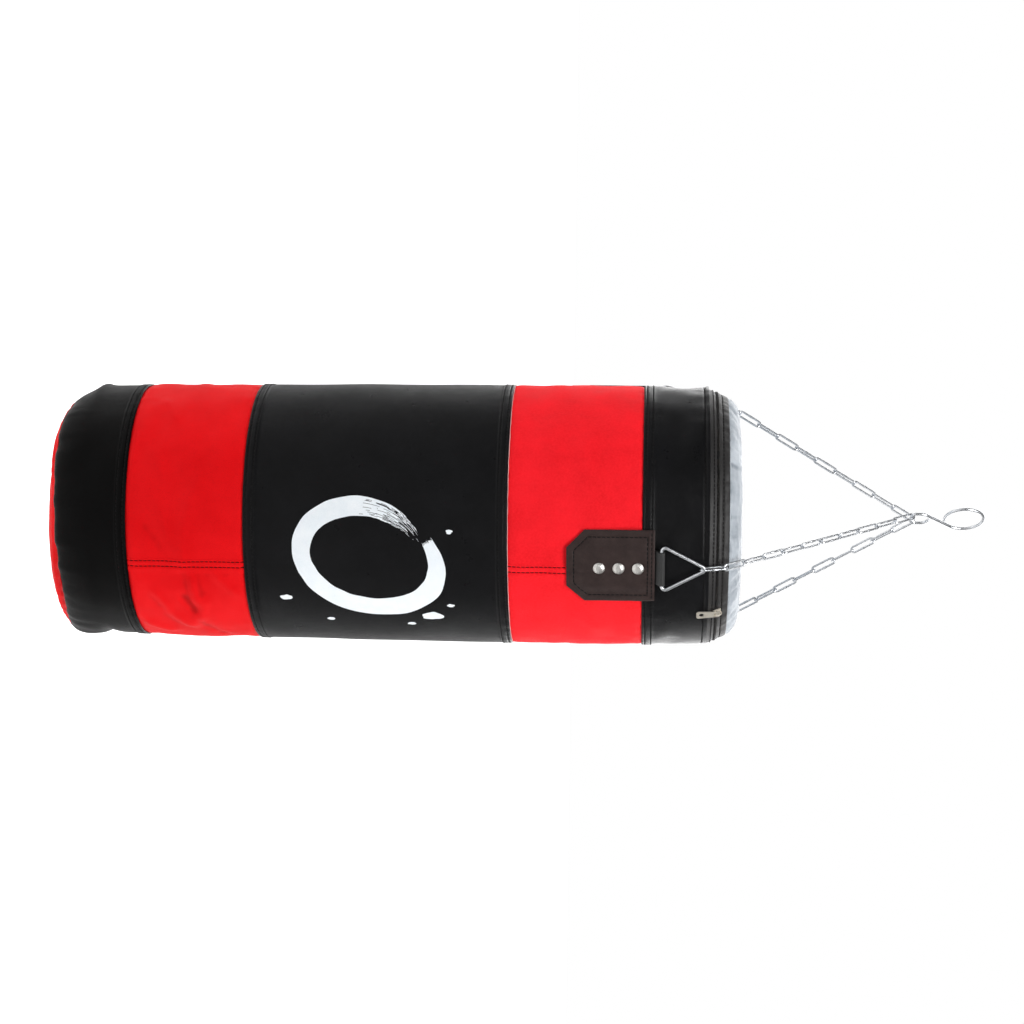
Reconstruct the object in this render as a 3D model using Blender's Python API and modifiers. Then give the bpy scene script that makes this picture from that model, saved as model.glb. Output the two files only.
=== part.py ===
"""Hanging heavy bag: a stuffed cylinder of sewn panels on three straps, three chains and an S-hook.

Units are metres and +Z is up. The origin is the bearing point inside the hook's large eye,
where the bag hangs. The bag's axis is the Z axis, and -Y is its front.
"""

import math

import bmesh
import bpy
from mathutils import Matrix, Vector

# ---- fits
GAP = 0.0003
ROUND_STEPS = 48
INNER_STEPS = 32

# ---- the bag's skin: seam heights and the radius of the skin at each
LID_TOP = -0.2792
LID_SEAM = -0.2960
ZIP_SEAM = -0.3175
TOP_SEAM = -0.3917
UPPER_SEAM = -0.5412
LOWER_SEAM = -0.8375
BAND_SEAM = -0.9697
CORNER_START = -1.0120
BASE_SEAM = -1.0538
BASE_BOTTOM = -1.0818
LID_SEAM_RADIUS = 0.1385
ZIP_SEAM_RADIUS = 0.1485
TOP_SEAM_RADIUS = 0.1500
BAG_RADIUS = 0.1503
LOWER_SEAM_RADIUS = 0.1488
BAND_SEAM_RADIUS = 0.1468
CORNER_RADIUS = 0.1460
BASE_SEAM_RADIUS = 0.1310
SKIN = 0.0015
SKIN_STATIONS = (
    (LID_SEAM, LID_SEAM_RADIUS),
    (ZIP_SEAM, ZIP_SEAM_RADIUS),
    (TOP_SEAM, TOP_SEAM_RADIUS),
    (UPPER_SEAM, BAG_RADIUS),
    (LOWER_SEAM, LOWER_SEAM_RADIUS),
    (BAND_SEAM, BAND_SEAM_RADIUS),
    (CORNER_START, CORNER_RADIUS),
)

# ---- lining and filling, inside the skin
LINING_INSET = 0.0045
LINING_THICKNESS = 0.0010
LINING_TOP = -0.3200
LINING_LIFT = 0.0022
FILLING_INSET = 0.0065
FILLING_LIFT = 0.0042
FILLING_TOP = -0.2852

# ---- the zip round the lid
COIL_HEIGHT = -0.3083
COIL_SECTION = 0.0011
COIL_SUNK = 0.0005
TAPE_THICKNESS = 0.0012
SLIDER_ANGLE = math.radians(47.5)
SLIDER_WIDTH = 0.0085
SLIDER_LENGTH = 0.0095
SLIDER_THICKNESS = 0.0020
SLIDER_LIFT = 0.0009
CROWN_WIRE = 0.0006
CROWN_SPAN = 0.0072
CROWN_HEIGHT = 0.0046
PIVOT_LIFT = 0.0060
PIVOT_UP = 0.0010
PULL_LENGTH = 0.0260
PULL_WIDTH = 0.0112
PULL_THICKNESS = 0.0012
PULL_TOP_BAR = 0.0012
PULL_SLOT_WIDTH = 0.0044
PULL_SLOT_LENGTH = 0.0052
PULL_HOLE_RADIUS = 0.0027
PULL_LEAN = math.radians(4.6)

# ---- the three straps, by the angle from the front towards +X
STRAPS = (
    ("front", math.radians(22.4)),
    ("right", math.radians(124.0)),
    ("left", math.radians(246.0)),
)
TAB_TOP = -0.3775
TAB_BOTTOM = -0.4755
TAB_WIDTH = 0.0850
TAB_CORNER = 0.0200
TAB_LIFT = 0.0033
TAB_THICKNESS = 0.0025
WEBBING_WIDTH = 0.0400
WEBBING_THICKNESS = 0.0012
WEBBING_BOTTOM = -0.4600
WEBBING_WRAP = math.radians(228.0)
WEBBING_BEND_START = -0.3730
RIVET_HEIGHTS = (-0.3960, -0.4176, -0.4392)
RIVET_HEAD_RADIUS = 0.0065
RIVET_HEAD_HEIGHT = 0.0024
RIVET_SHANK_RADIUS = 0.0022
RIVET_HOLE_RADIUS = 0.0026
BACKING_WIDTH = 0.0130
BACKING_THICKNESS = 0.0015
BACKING_INSET = 0.0025
BACKING_END = 0.0080

# ---- the triangle rings
RING_WIRE = 0.0019
RING_STAND_OFF = 0.0058
RING_BAR_HEIGHT = -0.3700
RING_APEX_HEIGHT = -0.3235
RING_BASE = 0.0457
RING_CORNER_REACH = 0.0050
RING_BASE_ROUND = 0.0042
RING_APEX_ROUND = 0.0036

# ---- the chains
LINKS_PER_CHAIN = 11
LINK_PITCH = 0.0266
LINK_WIRE = 0.00125
LINK_PLAY = 0.0005
LINK_WIDTH = 0.0096
RIM_RADIUS = 0.1340
RIM_HEIGHT = -0.2780
FIRST_FREE_LINK = 3

# ---- the S-hook: one bent wire in an upright plane turned about Z
HOOK_WIRE = 0.0018
HOOK_TURN = math.radians(60.0)
LARGE_EYE_RADIUS = 0.0223
SMALL_EYE_RADIUS = 0.0102
SMALL_EYE_HEIGHT = -0.0710
SMALL_EYE_FLAT = 0.0046
LARGE_TIP = math.radians(-8.0)
SMALL_TIP = math.radians(16.0)
LINK_SPACING = 0.0036
SEATS = {"front": -1, "left": 0, "right": 1}


# ------------------------------------------------------------------ scene and helpers


def clear_scene():
    for obj in list(bpy.data.objects):
        bpy.data.objects.remove(obj, do_unlink=True)


def collection(name):
    made = bpy.data.collections.new(name)
    bpy.context.scene.collection.children.link(made)
    return made


def srgb(red, green, blue):
    """A colour given in 0 to 255 steps, as the linear values that a material takes."""
    return tuple(((c / 255 + 0.055) / 1.055) ** 2.4 for c in (red, green, blue)) + (1.0,)


def material(name, colour, roughness, metallic=0.0):
    made = bpy.data.materials.new(name)
    made.use_nodes = True
    shader = made.node_tree.nodes["Principled BSDF"]
    shader.inputs["Base Color"].default_value = colour
    shader.inputs["Roughness"].default_value = roughness
    shader.inputs["Metallic"].default_value = metallic
    return made


def add(name, mesh, look=None):
    obj = bpy.data.objects.new(name, mesh)
    PARTS.objects.link(obj)
    if look is not None and not mesh.materials:
        mesh.materials.append(look)
    return obj


def make_tool(obj):
    """Moves an object to the cutters, which aren't part of the model."""
    PARTS.objects.unlink(obj)
    CUTTERS.objects.link(obj)
    obj.hide_render = True
    obj.display_type = "WIRE"
    return obj


def boolean(obj, tool, operation):
    change = obj.modifiers.new(operation.lower(), "BOOLEAN")
    change.operation = operation
    change.solver = "EXACT"
    change.object = tool


def turned(name, profile, look, closed=True, steps=ROUND_STEPS):
    """A profile of (radius, height) turned about Z. It runs down its outer side."""
    edges = [(i, i + 1) for i in range(len(profile) - 1)]
    if closed:
        edges.append((len(profile) - 1, 0))
    mesh = bpy.data.meshes.new(name)
    mesh.from_pydata([(r, 0.0, z) for r, z in profile], edges, [])
    obj = add(name, mesh, look)
    screw = obj.modifiers.new("turn", "SCREW")
    screw.angle = 2 * math.pi
    screw.steps = steps
    screw.render_steps = steps
    screw.use_merge_vertices = True
    screw.merge_threshold = 0.00001
    screw.use_smooth_shade = True
    return obj


def wire(name, points, radius, look, cyclic=False, sides=8, place=Matrix.Identity(4)):
    """A bent wire as a closed mesh: a bevelled poly curve whose caps are welded."""
    curve = bpy.data.curves.new(name, "CURVE")
    curve.dimensions = "3D"
    curve.bevel_depth = radius
    curve.bevel_resolution = (sides - 4) // 2
    curve.use_fill_caps = True
    spline = curve.splines.new("POLY")
    spline.points.add(len(points) - 1)
    spline.use_cyclic_u = cyclic
    for point, at in zip(spline.points, points):
        point.co = (*at, 1.0)
    guide = add(name + "_route", curve)
    bpy.context.view_layer.update()
    depsgraph = bpy.context.evaluated_depsgraph_get()
    mesh = bpy.data.meshes.new_from_object(guide.evaluated_get(depsgraph))
    bpy.data.objects.remove(guide)
    shape = bmesh.new()
    shape.from_mesh(mesh)
    bmesh.ops.remove_doubles(shape, verts=shape.verts, dist=0.00001)
    bmesh.ops.recalc_face_normals(shape, faces=shape.faces)
    shape.to_mesh(mesh)
    shape.free()
    mesh.shade_smooth()
    mesh.set_sharp_from_angle(angle=math.radians(60))
    obj = add(name, mesh, look)
    obj.matrix_world = place
    return obj


def offset_profile(profile, depth):
    """The same profile moved inwards by a depth, with its ends cut level or upright."""
    moved = []
    last = len(profile) - 1
    for i, (r, z) in enumerate(profile):
        before = profile[max(i - 1, 0)]
        after = profile[min(i + 1, last)]
        run = Vector((after[0] - before[0], after[1] - before[1])).normalized()
        if r == 0.0:
            moved.append((0.0, z - depth if i == 0 else z + depth))
        elif i in (0, last) and abs(run.y) > abs(run.x):
            moved.append((r + depth / run.y, z))
        elif i in (0, last):
            moved.append((r, z - depth / run.x))
        else:
            moved.append((r + depth * run.y, z - depth * run.x))
    return moved


def shell(name, outer, look, thickness=SKIN, steps=ROUND_STEPS):
    """A turned wall: the outer profile, and the same one set in by the thickness."""
    inner = offset_profile(outer, thickness)
    on_axis = outer[0][0] == 0.0 or outer[-1][0] == 0.0
    if outer[-1][0] == 0.0:
        profile = inner[::-1] + outer
    else:
        profile = outer + inner[::-1]
    return turned(name, profile, look, closed=not on_axis, steps=steps)


def skin_radius(height):
    """The skin's radius at a height, straight between the seams."""
    for (high, wide), (low, narrow) in zip(SKIN_STATIONS, SKIN_STATIONS[1:]):
        if height >= low:
            share = (high - height) / (high - low)
            return wide + share * (narrow - wide)
    return CORNER_RADIUS


def arc(centre, radius, start, end, steps):
    """Points on a circle, as (across, up), by the angle from the top towards +across."""
    turns = [start + (end - start) * i / steps for i in range(steps + 1)]
    return [(centre[0] + radius * math.sin(a), centre[1] + radius * math.cos(a)) for a in turns]


def rounded_outline(corners, radii, steps):
    """A closed outline of straight sides with its corners rounded."""
    outline = []
    count = len(corners)
    for i in range(count):
        corner = Vector(corners[i])
        back = (Vector(corners[i - 1]) - corner).normalized()
        on = (Vector(corners[(i + 1) % count]) - corner).normalized()
        half = back.angle(on) / 2
        centre = corner + (back + on).normalized() * radii[i] / math.sin(half)
        first = corner + back * radii[i] / math.tan(half) - centre
        last = corner + on * radii[i] / math.tan(half) - centre
        sweep = first.angle_signed(last)
        for k in range(steps + 1):
            turn = -sweep * k / steps
            outline.append(centre + Matrix.Rotation(turn, 2) @ first)
    return outline


# ------------------------------------------------------------------ the stuffed bag


def corner_profile(inset, lift, steps=5):
    """The turn from the wall to the base, as a quarter of an ellipse."""
    wide = CORNER_RADIUS - BASE_SEAM_RADIUS
    tall = CORNER_START - BASE_SEAM
    turns = [math.pi / 2 * i / steps for i in range(steps + 1)]
    return [
        (
            BASE_SEAM_RADIUS - inset + wide * math.cos(a),
            CORNER_START + lift - tall * math.sin(a),
        )
        for a in turns
    ]


def dome_profile(radius, lift, steps=4):
    """The base's bulge from its seam to the axis."""
    sag = BASE_SEAM - BASE_BOTTOM
    stops = [radius * (1 - i / steps) for i in range(steps + 1)]
    return [(r, BASE_BOTTOM + lift + sag * (r / BASE_SEAM_RADIUS) ** 2) for r in stops]


def wall_profile(top, bottom):
    return [
        (skin_radius(top - GAP / 2), top - GAP / 2),
        (skin_radius(bottom + GAP / 2), bottom + GAP / 2),
    ]


def make_skin():
    red = material("red_vinyl", srgb(214, 24, 28), 0.45)
    bright_red = material("bright_red_suede", srgb(236, 32, 42), 0.60)
    black = material("black_vinyl", srgb(30, 28, 28), 0.40)
    shell("top_band", wall_profile(ZIP_SEAM, TOP_SEAM), black)
    shell("upper_red_band", wall_profile(TOP_SEAM, UPPER_SEAM), bright_red)
    shell("middle_panel", wall_profile(UPPER_SEAM, LOWER_SEAM), black)
    shell("lower_red_band", wall_profile(LOWER_SEAM, BAND_SEAM), red)
    start = (skin_radius(BAND_SEAM - GAP / 2), BAND_SEAM - GAP / 2)
    shell("base_band", [start] + corner_profile(0.0, 0.0), black)
    shell("base_disc", dome_profile(BASE_SEAM_RADIUS - GAP, -GAP), red)


def make_inside():
    cloth = material("lining_cloth", srgb(200, 196, 186), 0.9)
    scraps = material("textile_filling", srgb(150, 146, 140), 0.95)
    side = [(skin_radius(LINING_TOP) - LINING_INSET, LINING_TOP)]
    side.append((BAG_RADIUS - LINING_INSET, UPPER_SEAM))
    side.append((LOWER_SEAM_RADIUS - LINING_INSET, LOWER_SEAM))
    corner = corner_profile(LINING_INSET, LINING_LIFT, 3)
    base = dome_profile(BASE_SEAM_RADIUS - LINING_INSET, LINING_LIFT, 3)[1:]
    shell("lining", side + corner + base, cloth, LINING_THICKNESS, INNER_STEPS)
    inset = FILLING_INSET
    top = [
        (0.0, FILLING_TOP + 0.0015),
        (0.0900, FILLING_TOP + 0.0010),
        (0.1160, FILLING_TOP - 0.0010),
        (LID_SEAM_RADIUS - inset, LID_SEAM - 0.0030),
        (ZIP_SEAM_RADIUS - inset, ZIP_SEAM),
        (BAG_RADIUS - inset, UPPER_SEAM),
        (LOWER_SEAM_RADIUS - inset, LOWER_SEAM),
    ]
    corner = corner_profile(inset, FILLING_LIFT, 3)
    base = dome_profile(BASE_SEAM_RADIUS - inset, FILLING_LIFT, 3)[1:]
    turned("filling", top + corner + base, scraps, closed=False, steps=INNER_STEPS)


def make_zip_and_lid():
    tape = material("zip_tape", srgb(34, 28, 26), 0.7)
    coil = material("zip_coil", srgb(18, 16, 16), 0.4)
    grey = material("lid_vinyl", srgb(182, 189, 194), 0.5)
    groove = COIL_SECTION + GAP
    shell("zip_tape_lower", wall_profile(COIL_HEIGHT - groove, ZIP_SEAM), tape, TAPE_THICKNESS)
    shell("zip_tape_upper", wall_profile(LID_SEAM, COIL_HEIGHT + groove), tape, TAPE_THICKNESS)
    middle = (skin_radius(COIL_HEIGHT) - COIL_SUNK, COIL_HEIGHT)
    turned("zip_coil", arc(middle, COIL_SECTION, 0.0, 2 * math.pi, 6)[:-1], coil)
    edge = (skin_radius(LID_SEAM), LID_SEAM + GAP / 2)
    crown = [
        (0.0, LID_TOP),
        (0.0950, LID_TOP - 0.0006),
        (0.1160, LID_TOP - 0.0020),
        (0.1270, LID_TOP - 0.0060),
        (0.1345, LID_TOP - 0.0115),
        edge,
    ]
    shell("lid", crown, grey)


# ------------------------------------------------------------------ the zip's slider and pull


def zip_frame(angle):
    """The point of the skin at the coil, and the directions along, up and out of the zip."""
    slope = math.atan((ZIP_SEAM_RADIUS - LID_SEAM_RADIUS) / (LID_SEAM - ZIP_SEAM))
    outward = Vector((math.sin(angle), -math.cos(angle), 0.0))
    along = Vector((math.cos(angle), math.sin(angle), 0.0))
    out = outward * math.cos(slope) + Vector((0, 0, math.sin(slope)))
    up = Vector((0, 0, math.cos(slope))) - outward * math.sin(slope)
    return outward * skin_radius(COIL_HEIGHT) + Vector((0, 0, COIL_HEIGHT)), along, up, out


def axes_matrix(origin, x, y, z):
    frame = Matrix((x, y, z)).transposed().to_4x4()
    frame.translation = origin
    return frame


def make_slider():
    nickel = material("zip_nickel", srgb(172, 166, 158), 0.3, 1.0)
    origin, along, up, out = zip_frame(SLIDER_ANGLE)
    place = axes_matrix(origin, along, up, out)
    shape = bmesh.new()
    bmesh.ops.create_cube(shape, size=1.0)
    size = Vector((SLIDER_WIDTH, SLIDER_LENGTH, SLIDER_THICKNESS))
    bmesh.ops.scale(shape, vec=size, verts=shape.verts)
    middle = Vector((0, 0, SLIDER_LIFT + SLIDER_THICKNESS / 2))
    bmesh.ops.translate(shape, vec=middle, verts=shape.verts)
    mesh = bpy.data.meshes.new("zip_slider")
    shape.to_mesh(mesh)
    shape.free()
    slider = add("zip_slider", mesh, nickel)
    slider.matrix_world = place
    round_edges = slider.modifiers.new("edges", "BEVEL")
    round_edges.width = 0.0006
    round_edges.segments = 2
    top = SLIDER_LIFT + SLIDER_THICKNESS
    half = CROWN_SPAN / 2
    hoop = [(0.0, PIVOT_UP - half, top - CROWN_WIRE)]
    for i in range(9):
        turn = math.pi * (1 - i / 8)
        rise = CROWN_HEIGHT * math.sin(turn) ** 0.6
        hoop.append((0.0, PIVOT_UP + half * math.cos(turn), top + rise))
    hoop.append((0.0, PIVOT_UP + half, top - CROWN_WIRE))
    crown = make_tool(wire("zip_crown", hoop, CROWN_WIRE, nickel, sides=6, place=place))
    boolean(slider, crown, "UNION")
    pivot = origin + out * PIVOT_LIFT + up * PIVOT_UP
    make_pull(nickel, pivot, along)


def make_pull(look, pivot, along):
    """A flat plate with a slot for the slider's crown and a round hole, hung from its top bar."""
    curve = bpy.data.curves.new("zip_pull", "CURVE")
    curve.dimensions = "2D"
    curve.fill_mode = "BOTH"
    curve.extrude = PULL_THICKNESS / 2
    top = PULL_TOP_BAR / 2
    low = top - PULL_LENGTH
    half = PULL_WIDTH / 2
    body = rounded_outline(
        [(-0.7 * half, top), (0.7 * half, top), (half, low), (-half, low)],
        [0.0010, 0.0010, 0.0025, 0.0025],
        3,
    )
    slot_half = PULL_SLOT_WIDTH / 2
    slot_top = -PULL_TOP_BAR / 2
    slot = [
        (-slot_half, slot_top),
        (slot_half, slot_top),
        (slot_half * 0.7, slot_top - PULL_SLOT_LENGTH),
        (-slot_half * 0.7, slot_top - PULL_SLOT_LENGTH),
    ]
    hole = arc((0.0, low + 0.0055), PULL_HOLE_RADIUS, 0.0, 2 * math.pi, 10)[:-1]
    for outline in (body, slot, hole):
        spline = curve.splines.new("POLY")
        spline.points.add(len(outline) - 1)
        spline.use_cyclic_u = True
        for point, at in zip(spline.points, outline):
            point.co = (at[0], at[1], 0.0, 1.0)
    pull = add("zip_pull", curve)
    curve.materials.append(look)
    outward = along.cross(Vector((0, 0, 1)))
    hang = Vector((0, 0, math.cos(PULL_LEAN))) - outward * math.sin(PULL_LEAN)
    pull.matrix_world = axes_matrix(pivot, along, hang, along.cross(hang))


# ------------------------------------------------------------------ straps, rivets and rings


def make_tab(name, look, place, holes):
    """A leather patch bent round the bag, with its two lower corners cut off."""
    shape = bmesh.new()
    bmesh.ops.create_grid(shape, x_segments=8, y_segments=5, size=0.5)
    height = TAB_TOP - TAB_BOTTOM
    bmesh.ops.scale(shape, vec=Vector((TAB_WIDTH, height, 1.0)), verts=shape.verts)
    for side in (-1, 1):
        corner = Vector((side * (TAB_WIDTH / 2 - TAB_CORNER / 2), TAB_CORNER / 2 - height / 2, 0))
        bmesh.ops.bisect_plane(
            shape,
            geom=shape.verts[:] + shape.edges[:] + shape.faces[:],
            dist=0.00001,
            plane_co=corner,
            plane_no=Vector((side, -1, 0)).normalized(),
            clear_outer=True,
        )
    for vert in shape.verts:
        z = (TAB_TOP + TAB_BOTTOM) / 2 + vert.co.y
        radius = skin_radius(z) + TAB_LIFT
        turn = vert.co.x / (BAG_RADIUS + TAB_LIFT)
        vert.co = Vector((radius * math.sin(turn), -radius * math.cos(turn), z))
    bmesh.ops.recalc_face_normals(shape, faces=shape.faces)
    if shape.faces[:][0].normal.y > 0:
        bmesh.ops.reverse_faces(shape, faces=shape.faces)
    mesh = bpy.data.meshes.new(name)
    shape.to_mesh(mesh)
    shape.free()
    tab = add(name, mesh, look)
    tab.parent = place
    thick = tab.modifiers.new("leather", "SOLIDIFY")
    thick.thickness = TAB_THICKNESS
    thick.offset = 1.0
    boolean(tab, holes, "DIFFERENCE")
    return tab


def webbing_route():
    """The strap's centreline as (distance out from the skin, height): up, round the bar, down."""
    half = WEBBING_THICKNESS / 2
    inner = GAP + half
    outer = inner + WEBBING_THICKNESS + GAP
    round_bar = RING_WIRE + 2 * GAP + half
    past_edge = TAB_TOP + 0.0010
    route = [(inner, WEBBING_BOTTOM), (inner, -0.42), (inner, past_edge)]
    for i in range(9):
        turn = WEBBING_WRAP * i / 8
        out = RING_STAND_OFF - round_bar * math.cos(turn)
        route.append((out, RING_BAR_HEIGHT + round_bar * math.sin(turn)))
    route += [(outer, past_edge), (outer, -0.42), (outer, WEBBING_BOTTOM)]
    return route


def make_webbing(name, look, place, holes):
    """A strap folded round the ring's bar, both its legs lying on the bag under the tab."""
    route = webbing_route()
    columns = 5
    verts = []
    for i in range(columns):
        x = WEBBING_WIDTH * (i / (columns - 1) - 0.5)
        for out, z in route:
            below = (WEBBING_BEND_START - z) / (WEBBING_BEND_START - TAB_TOP)
            hugs = min(1.0, max(0.0, below))
            sag = (BAG_RADIUS - math.sqrt(BAG_RADIUS**2 - x * x)) * hugs
            verts.append((x, -(skin_radius(z) + out - sag), z))
    count = len(route)
    faces = []
    for i in range(columns - 1):
        for k in range(count - 1):
            low = i * count + k
            faces.append((low, low + 1, low + count + 1, low + count))
    mesh = bpy.data.meshes.new(name)
    mesh.from_pydata(verts, [], faces)
    strap = add(name, mesh, look)
    strap.parent = place
    thick = strap.modifiers.new("webbing", "SOLIDIFY")
    thick.thickness = WEBBING_THICKNESS
    thick.offset = 0.0
    boolean(strap, holes, "DIFFERENCE")
    return strap


def hole_cutters(name, place):
    """Three pins that clear the way for one strap's rivets."""
    shape = bmesh.new()
    for z in RIVET_HEIGHTS:
        lie = Matrix.Translation((0, -BAG_RADIUS, z)) @ Matrix.Rotation(math.pi / 2, 4, "X")
        bmesh.ops.create_cone(
            shape,
            cap_ends=True,
            segments=10,
            radius1=RIVET_HOLE_RADIUS,
            radius2=RIVET_HOLE_RADIUS,
            depth=0.020,
            matrix=lie,
        )
    mesh = bpy.data.meshes.new(name)
    shape.to_mesh(mesh)
    shape.free()
    cutter = add(name, mesh)
    cutter.parent = place
    return make_tool(cutter)


def make_rivets(name, look, place):
    """Three domed rivets whose shanks end in one backing strip inside the skin."""
    inner = BAG_RADIUS - BACKING_INSET - BACKING_THICKNESS
    head = BAG_RADIUS + TAB_LIFT + TAB_THICKNESS + GAP
    shape = bmesh.new()
    bmesh.ops.create_cube(shape, size=1.0)
    tall = RIVET_HEIGHTS[0] - RIVET_HEIGHTS[-1] + 2 * BACKING_END
    size = Vector((BACKING_WIDTH, BACKING_THICKNESS, tall))
    bmesh.ops.scale(shape, vec=size, verts=shape.verts)
    middle = Vector((0, -(inner + BACKING_THICKNESS / 2), RIVET_HEIGHTS[1]))
    bmesh.ops.translate(shape, vec=middle, verts=shape.verts)
    mesh = bpy.data.meshes.new(name)
    shape.to_mesh(mesh)
    shape.free()
    rivets = add(name, mesh, look)
    rivets.parent = place
    radius = RIVET_HEAD_RADIUS
    profile = [
        (0.0, head + RIVET_HEAD_HEIGHT),
        (radius * 0.50, head + RIVET_HEAD_HEIGHT * 0.88),
        (radius * 0.85, head + RIVET_HEAD_HEIGHT * 0.50),
        (radius, head + RIVET_HEAD_HEIGHT * 0.10),
        (radius, head),
        (RIVET_SHANK_RADIUS, head),
        (RIVET_SHANK_RADIUS, inner + BACKING_THICKNESS / 2),
        (0.0, inner + BACKING_THICKNESS / 2),
    ]
    for i, z in enumerate(RIVET_HEIGHTS):
        pin = turned(f"{name}_pin_{i + 1}", profile, look, closed=False, steps=12)
        pin.parent = place
        pin.location = (0, 0, z)
        pin.rotation_euler = (math.pi / 2, 0, 0)
        boolean(rivets, make_tool(pin), "UNION")


def make_ring(name, look, place):
    """A welded triangle of round wire that hangs from its point and holds the strap by its bar."""
    apex_half = RING_BASE / 2
    tall = RING_APEX_HEIGHT - RING_BAR_HEIGHT
    lean = math.atan(apex_half / tall)
    sharp = RING_APEX_ROUND / math.sin(lean) - RING_APEX_ROUND
    corners = [
        (-apex_half - RING_CORNER_REACH, RING_BAR_HEIGHT),
        (0.0, RING_APEX_HEIGHT + sharp),
        (apex_half + RING_CORNER_REACH, RING_BAR_HEIGHT),
    ]
    radii = [RING_BASE_ROUND, RING_APEX_ROUND, RING_BASE_ROUND]
    outline = rounded_outline(corners, radii, 4)
    plane = -(skin_radius(RING_BAR_HEIGHT) + RING_STAND_OFF)
    points = [(x, plane, z) for x, z in outline]
    ring = wire(name, points, RING_WIRE, look, cyclic=True)
    ring.parent = place


def make_straps():
    leather = material("tab_leather", srgb(58, 46, 45), 0.6)
    webbing = material("strap_webbing", srgb(24, 24, 24), 0.7)
    nickel = material("rivet_nickel", srgb(196, 194, 190), 0.2, 1.0)
    zinc = material("ring_zinc", srgb(205, 207, 210), 0.25, 1.0)
    band = bpy.data.objects["upper_red_band"]
    for name, angle in STRAPS:
        place = bpy.data.objects.new(f"{name}_strap_place", None)
        PARTS.objects.link(place)
        place.rotation_euler = (0, 0, angle)
        holes = hole_cutters(f"{name}_rivet_holes", place)
        make_tab(f"tab_{name}", leather, place, holes)
        make_webbing(f"strap_loop_{name}", webbing, place, holes)
        make_rivets(f"rivets_{name}", nickel, place)
        make_ring(f"triangle_ring_{name}", zinc, place)
        boolean(band, holes, "DIFFERENCE")


# ------------------------------------------------------------------ the S-hook and the chains


def hook_route():
    """The hook's centreline as (across, up) in its own plane, from the small eye's tip."""
    large = (0.0, HOOK_WIRE - LARGE_EYE_RADIUS)
    small = (0.0, SMALL_EYE_HEIGHT)
    reach = LARGE_EYE_RADIUS + SMALL_EYE_RADIUS
    leave = math.acos(reach / (large[1] - small[1]))
    bottom = SMALL_EYE_HEIGHT - SMALL_EYE_RADIUS
    bend = SMALL_EYE_RADIUS - SMALL_EYE_FLAT
    right = (SMALL_EYE_FLAT, bottom + bend)
    left = (-SMALL_EYE_FLAT, bottom + bend)
    quarter = math.pi / 2
    route = arc(small, SMALL_EYE_RADIUS, SMALL_TIP, quarter, 5)
    route += arc(right, bend, quarter, 2 * quarter, 4)
    route += arc(left, bend, 2 * quarter, 3 * quarter, 4)
    route += arc(small, SMALL_EYE_RADIUS, 3 * quarter, 4 * quarter - leave, 3)
    route += arc(large, LARGE_EYE_RADIUS, 2 * quarter - leave, LARGE_TIP - 2 * quarter, 18)
    return route


def make_hook():
    zinc = material("hook_zinc", srgb(198, 200, 204), 0.25, 1.0)
    across = Vector((math.cos(HOOK_TURN), math.sin(HOOK_TURN), 0.0))
    points = [across * u + Vector((0, 0, z)) for u, z in hook_route()]
    wire("s_hook", points, HOOK_WIRE, zinc)


def link_outline():
    """One link's centreline: two straight sides and two half turns, standing along Z."""
    bend = LINK_WIDTH / 2 - LINK_WIRE
    half = (LINK_PITCH + LINK_PLAY) / 2 + LINK_WIRE - bend
    route = arc((0.0, half), bend, -math.pi / 2, math.pi / 2, 6)
    route += arc((0.0, -half), bend, math.pi / 2, 3 * math.pi / 2, 6)
    return [(x, 0.0, z) for x, z in route]


def chain_joints(angle, seat):
    """Where a chain's links meet, from the ring's point to the seat on the hook."""
    outward = Vector((math.sin(angle), -math.cos(angle), 0.0))
    across = Vector((math.cos(HOOK_TURN), math.sin(HOOK_TURN), 0.0))
    axle = across * seat * LINK_SPACING + Vector((0, 0, SMALL_EYE_HEIGHT - SMALL_EYE_RADIUS))
    rim = outward * RIM_RADIUS + Vector((0, 0, RIM_HEIGHT))
    rise = Vector((0, 0, 1))
    for _ in range(4):
        lift = (rise - across * rise.dot(across)).normalized()
        last_bend = axle + lift * (HOOK_WIRE + LINK_WIRE + GAP)
        rise = (last_bend - rim).normalized()
    top = last_bend - rise * (LINK_WIRE + LINK_PLAY / 2)
    free = LINKS_PER_CHAIN - FIRST_FREE_LINK + 1
    joints = [top.lerp(rim, k / free) for k in range(free + 1)]
    stand_off = skin_radius(RING_BAR_HEIGHT) + RING_STAND_OFF
    foot = outward * stand_off + Vector((0, 0, RING_APEX_HEIGHT - RING_WIRE - LINK_PLAY / 2))
    over = joints[-1] - foot
    bulge = math.sqrt(LINK_PITCH**2 - (over.length / 2) ** 2)
    side = outward.cross(Vector((0, 0, 1))).cross(over).normalized()
    if side.dot(outward) < 0:
        side = -side
    joints.append(foot + over / 2 + side * bulge)
    joints.append(foot)
    return joints[::-1], across


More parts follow.
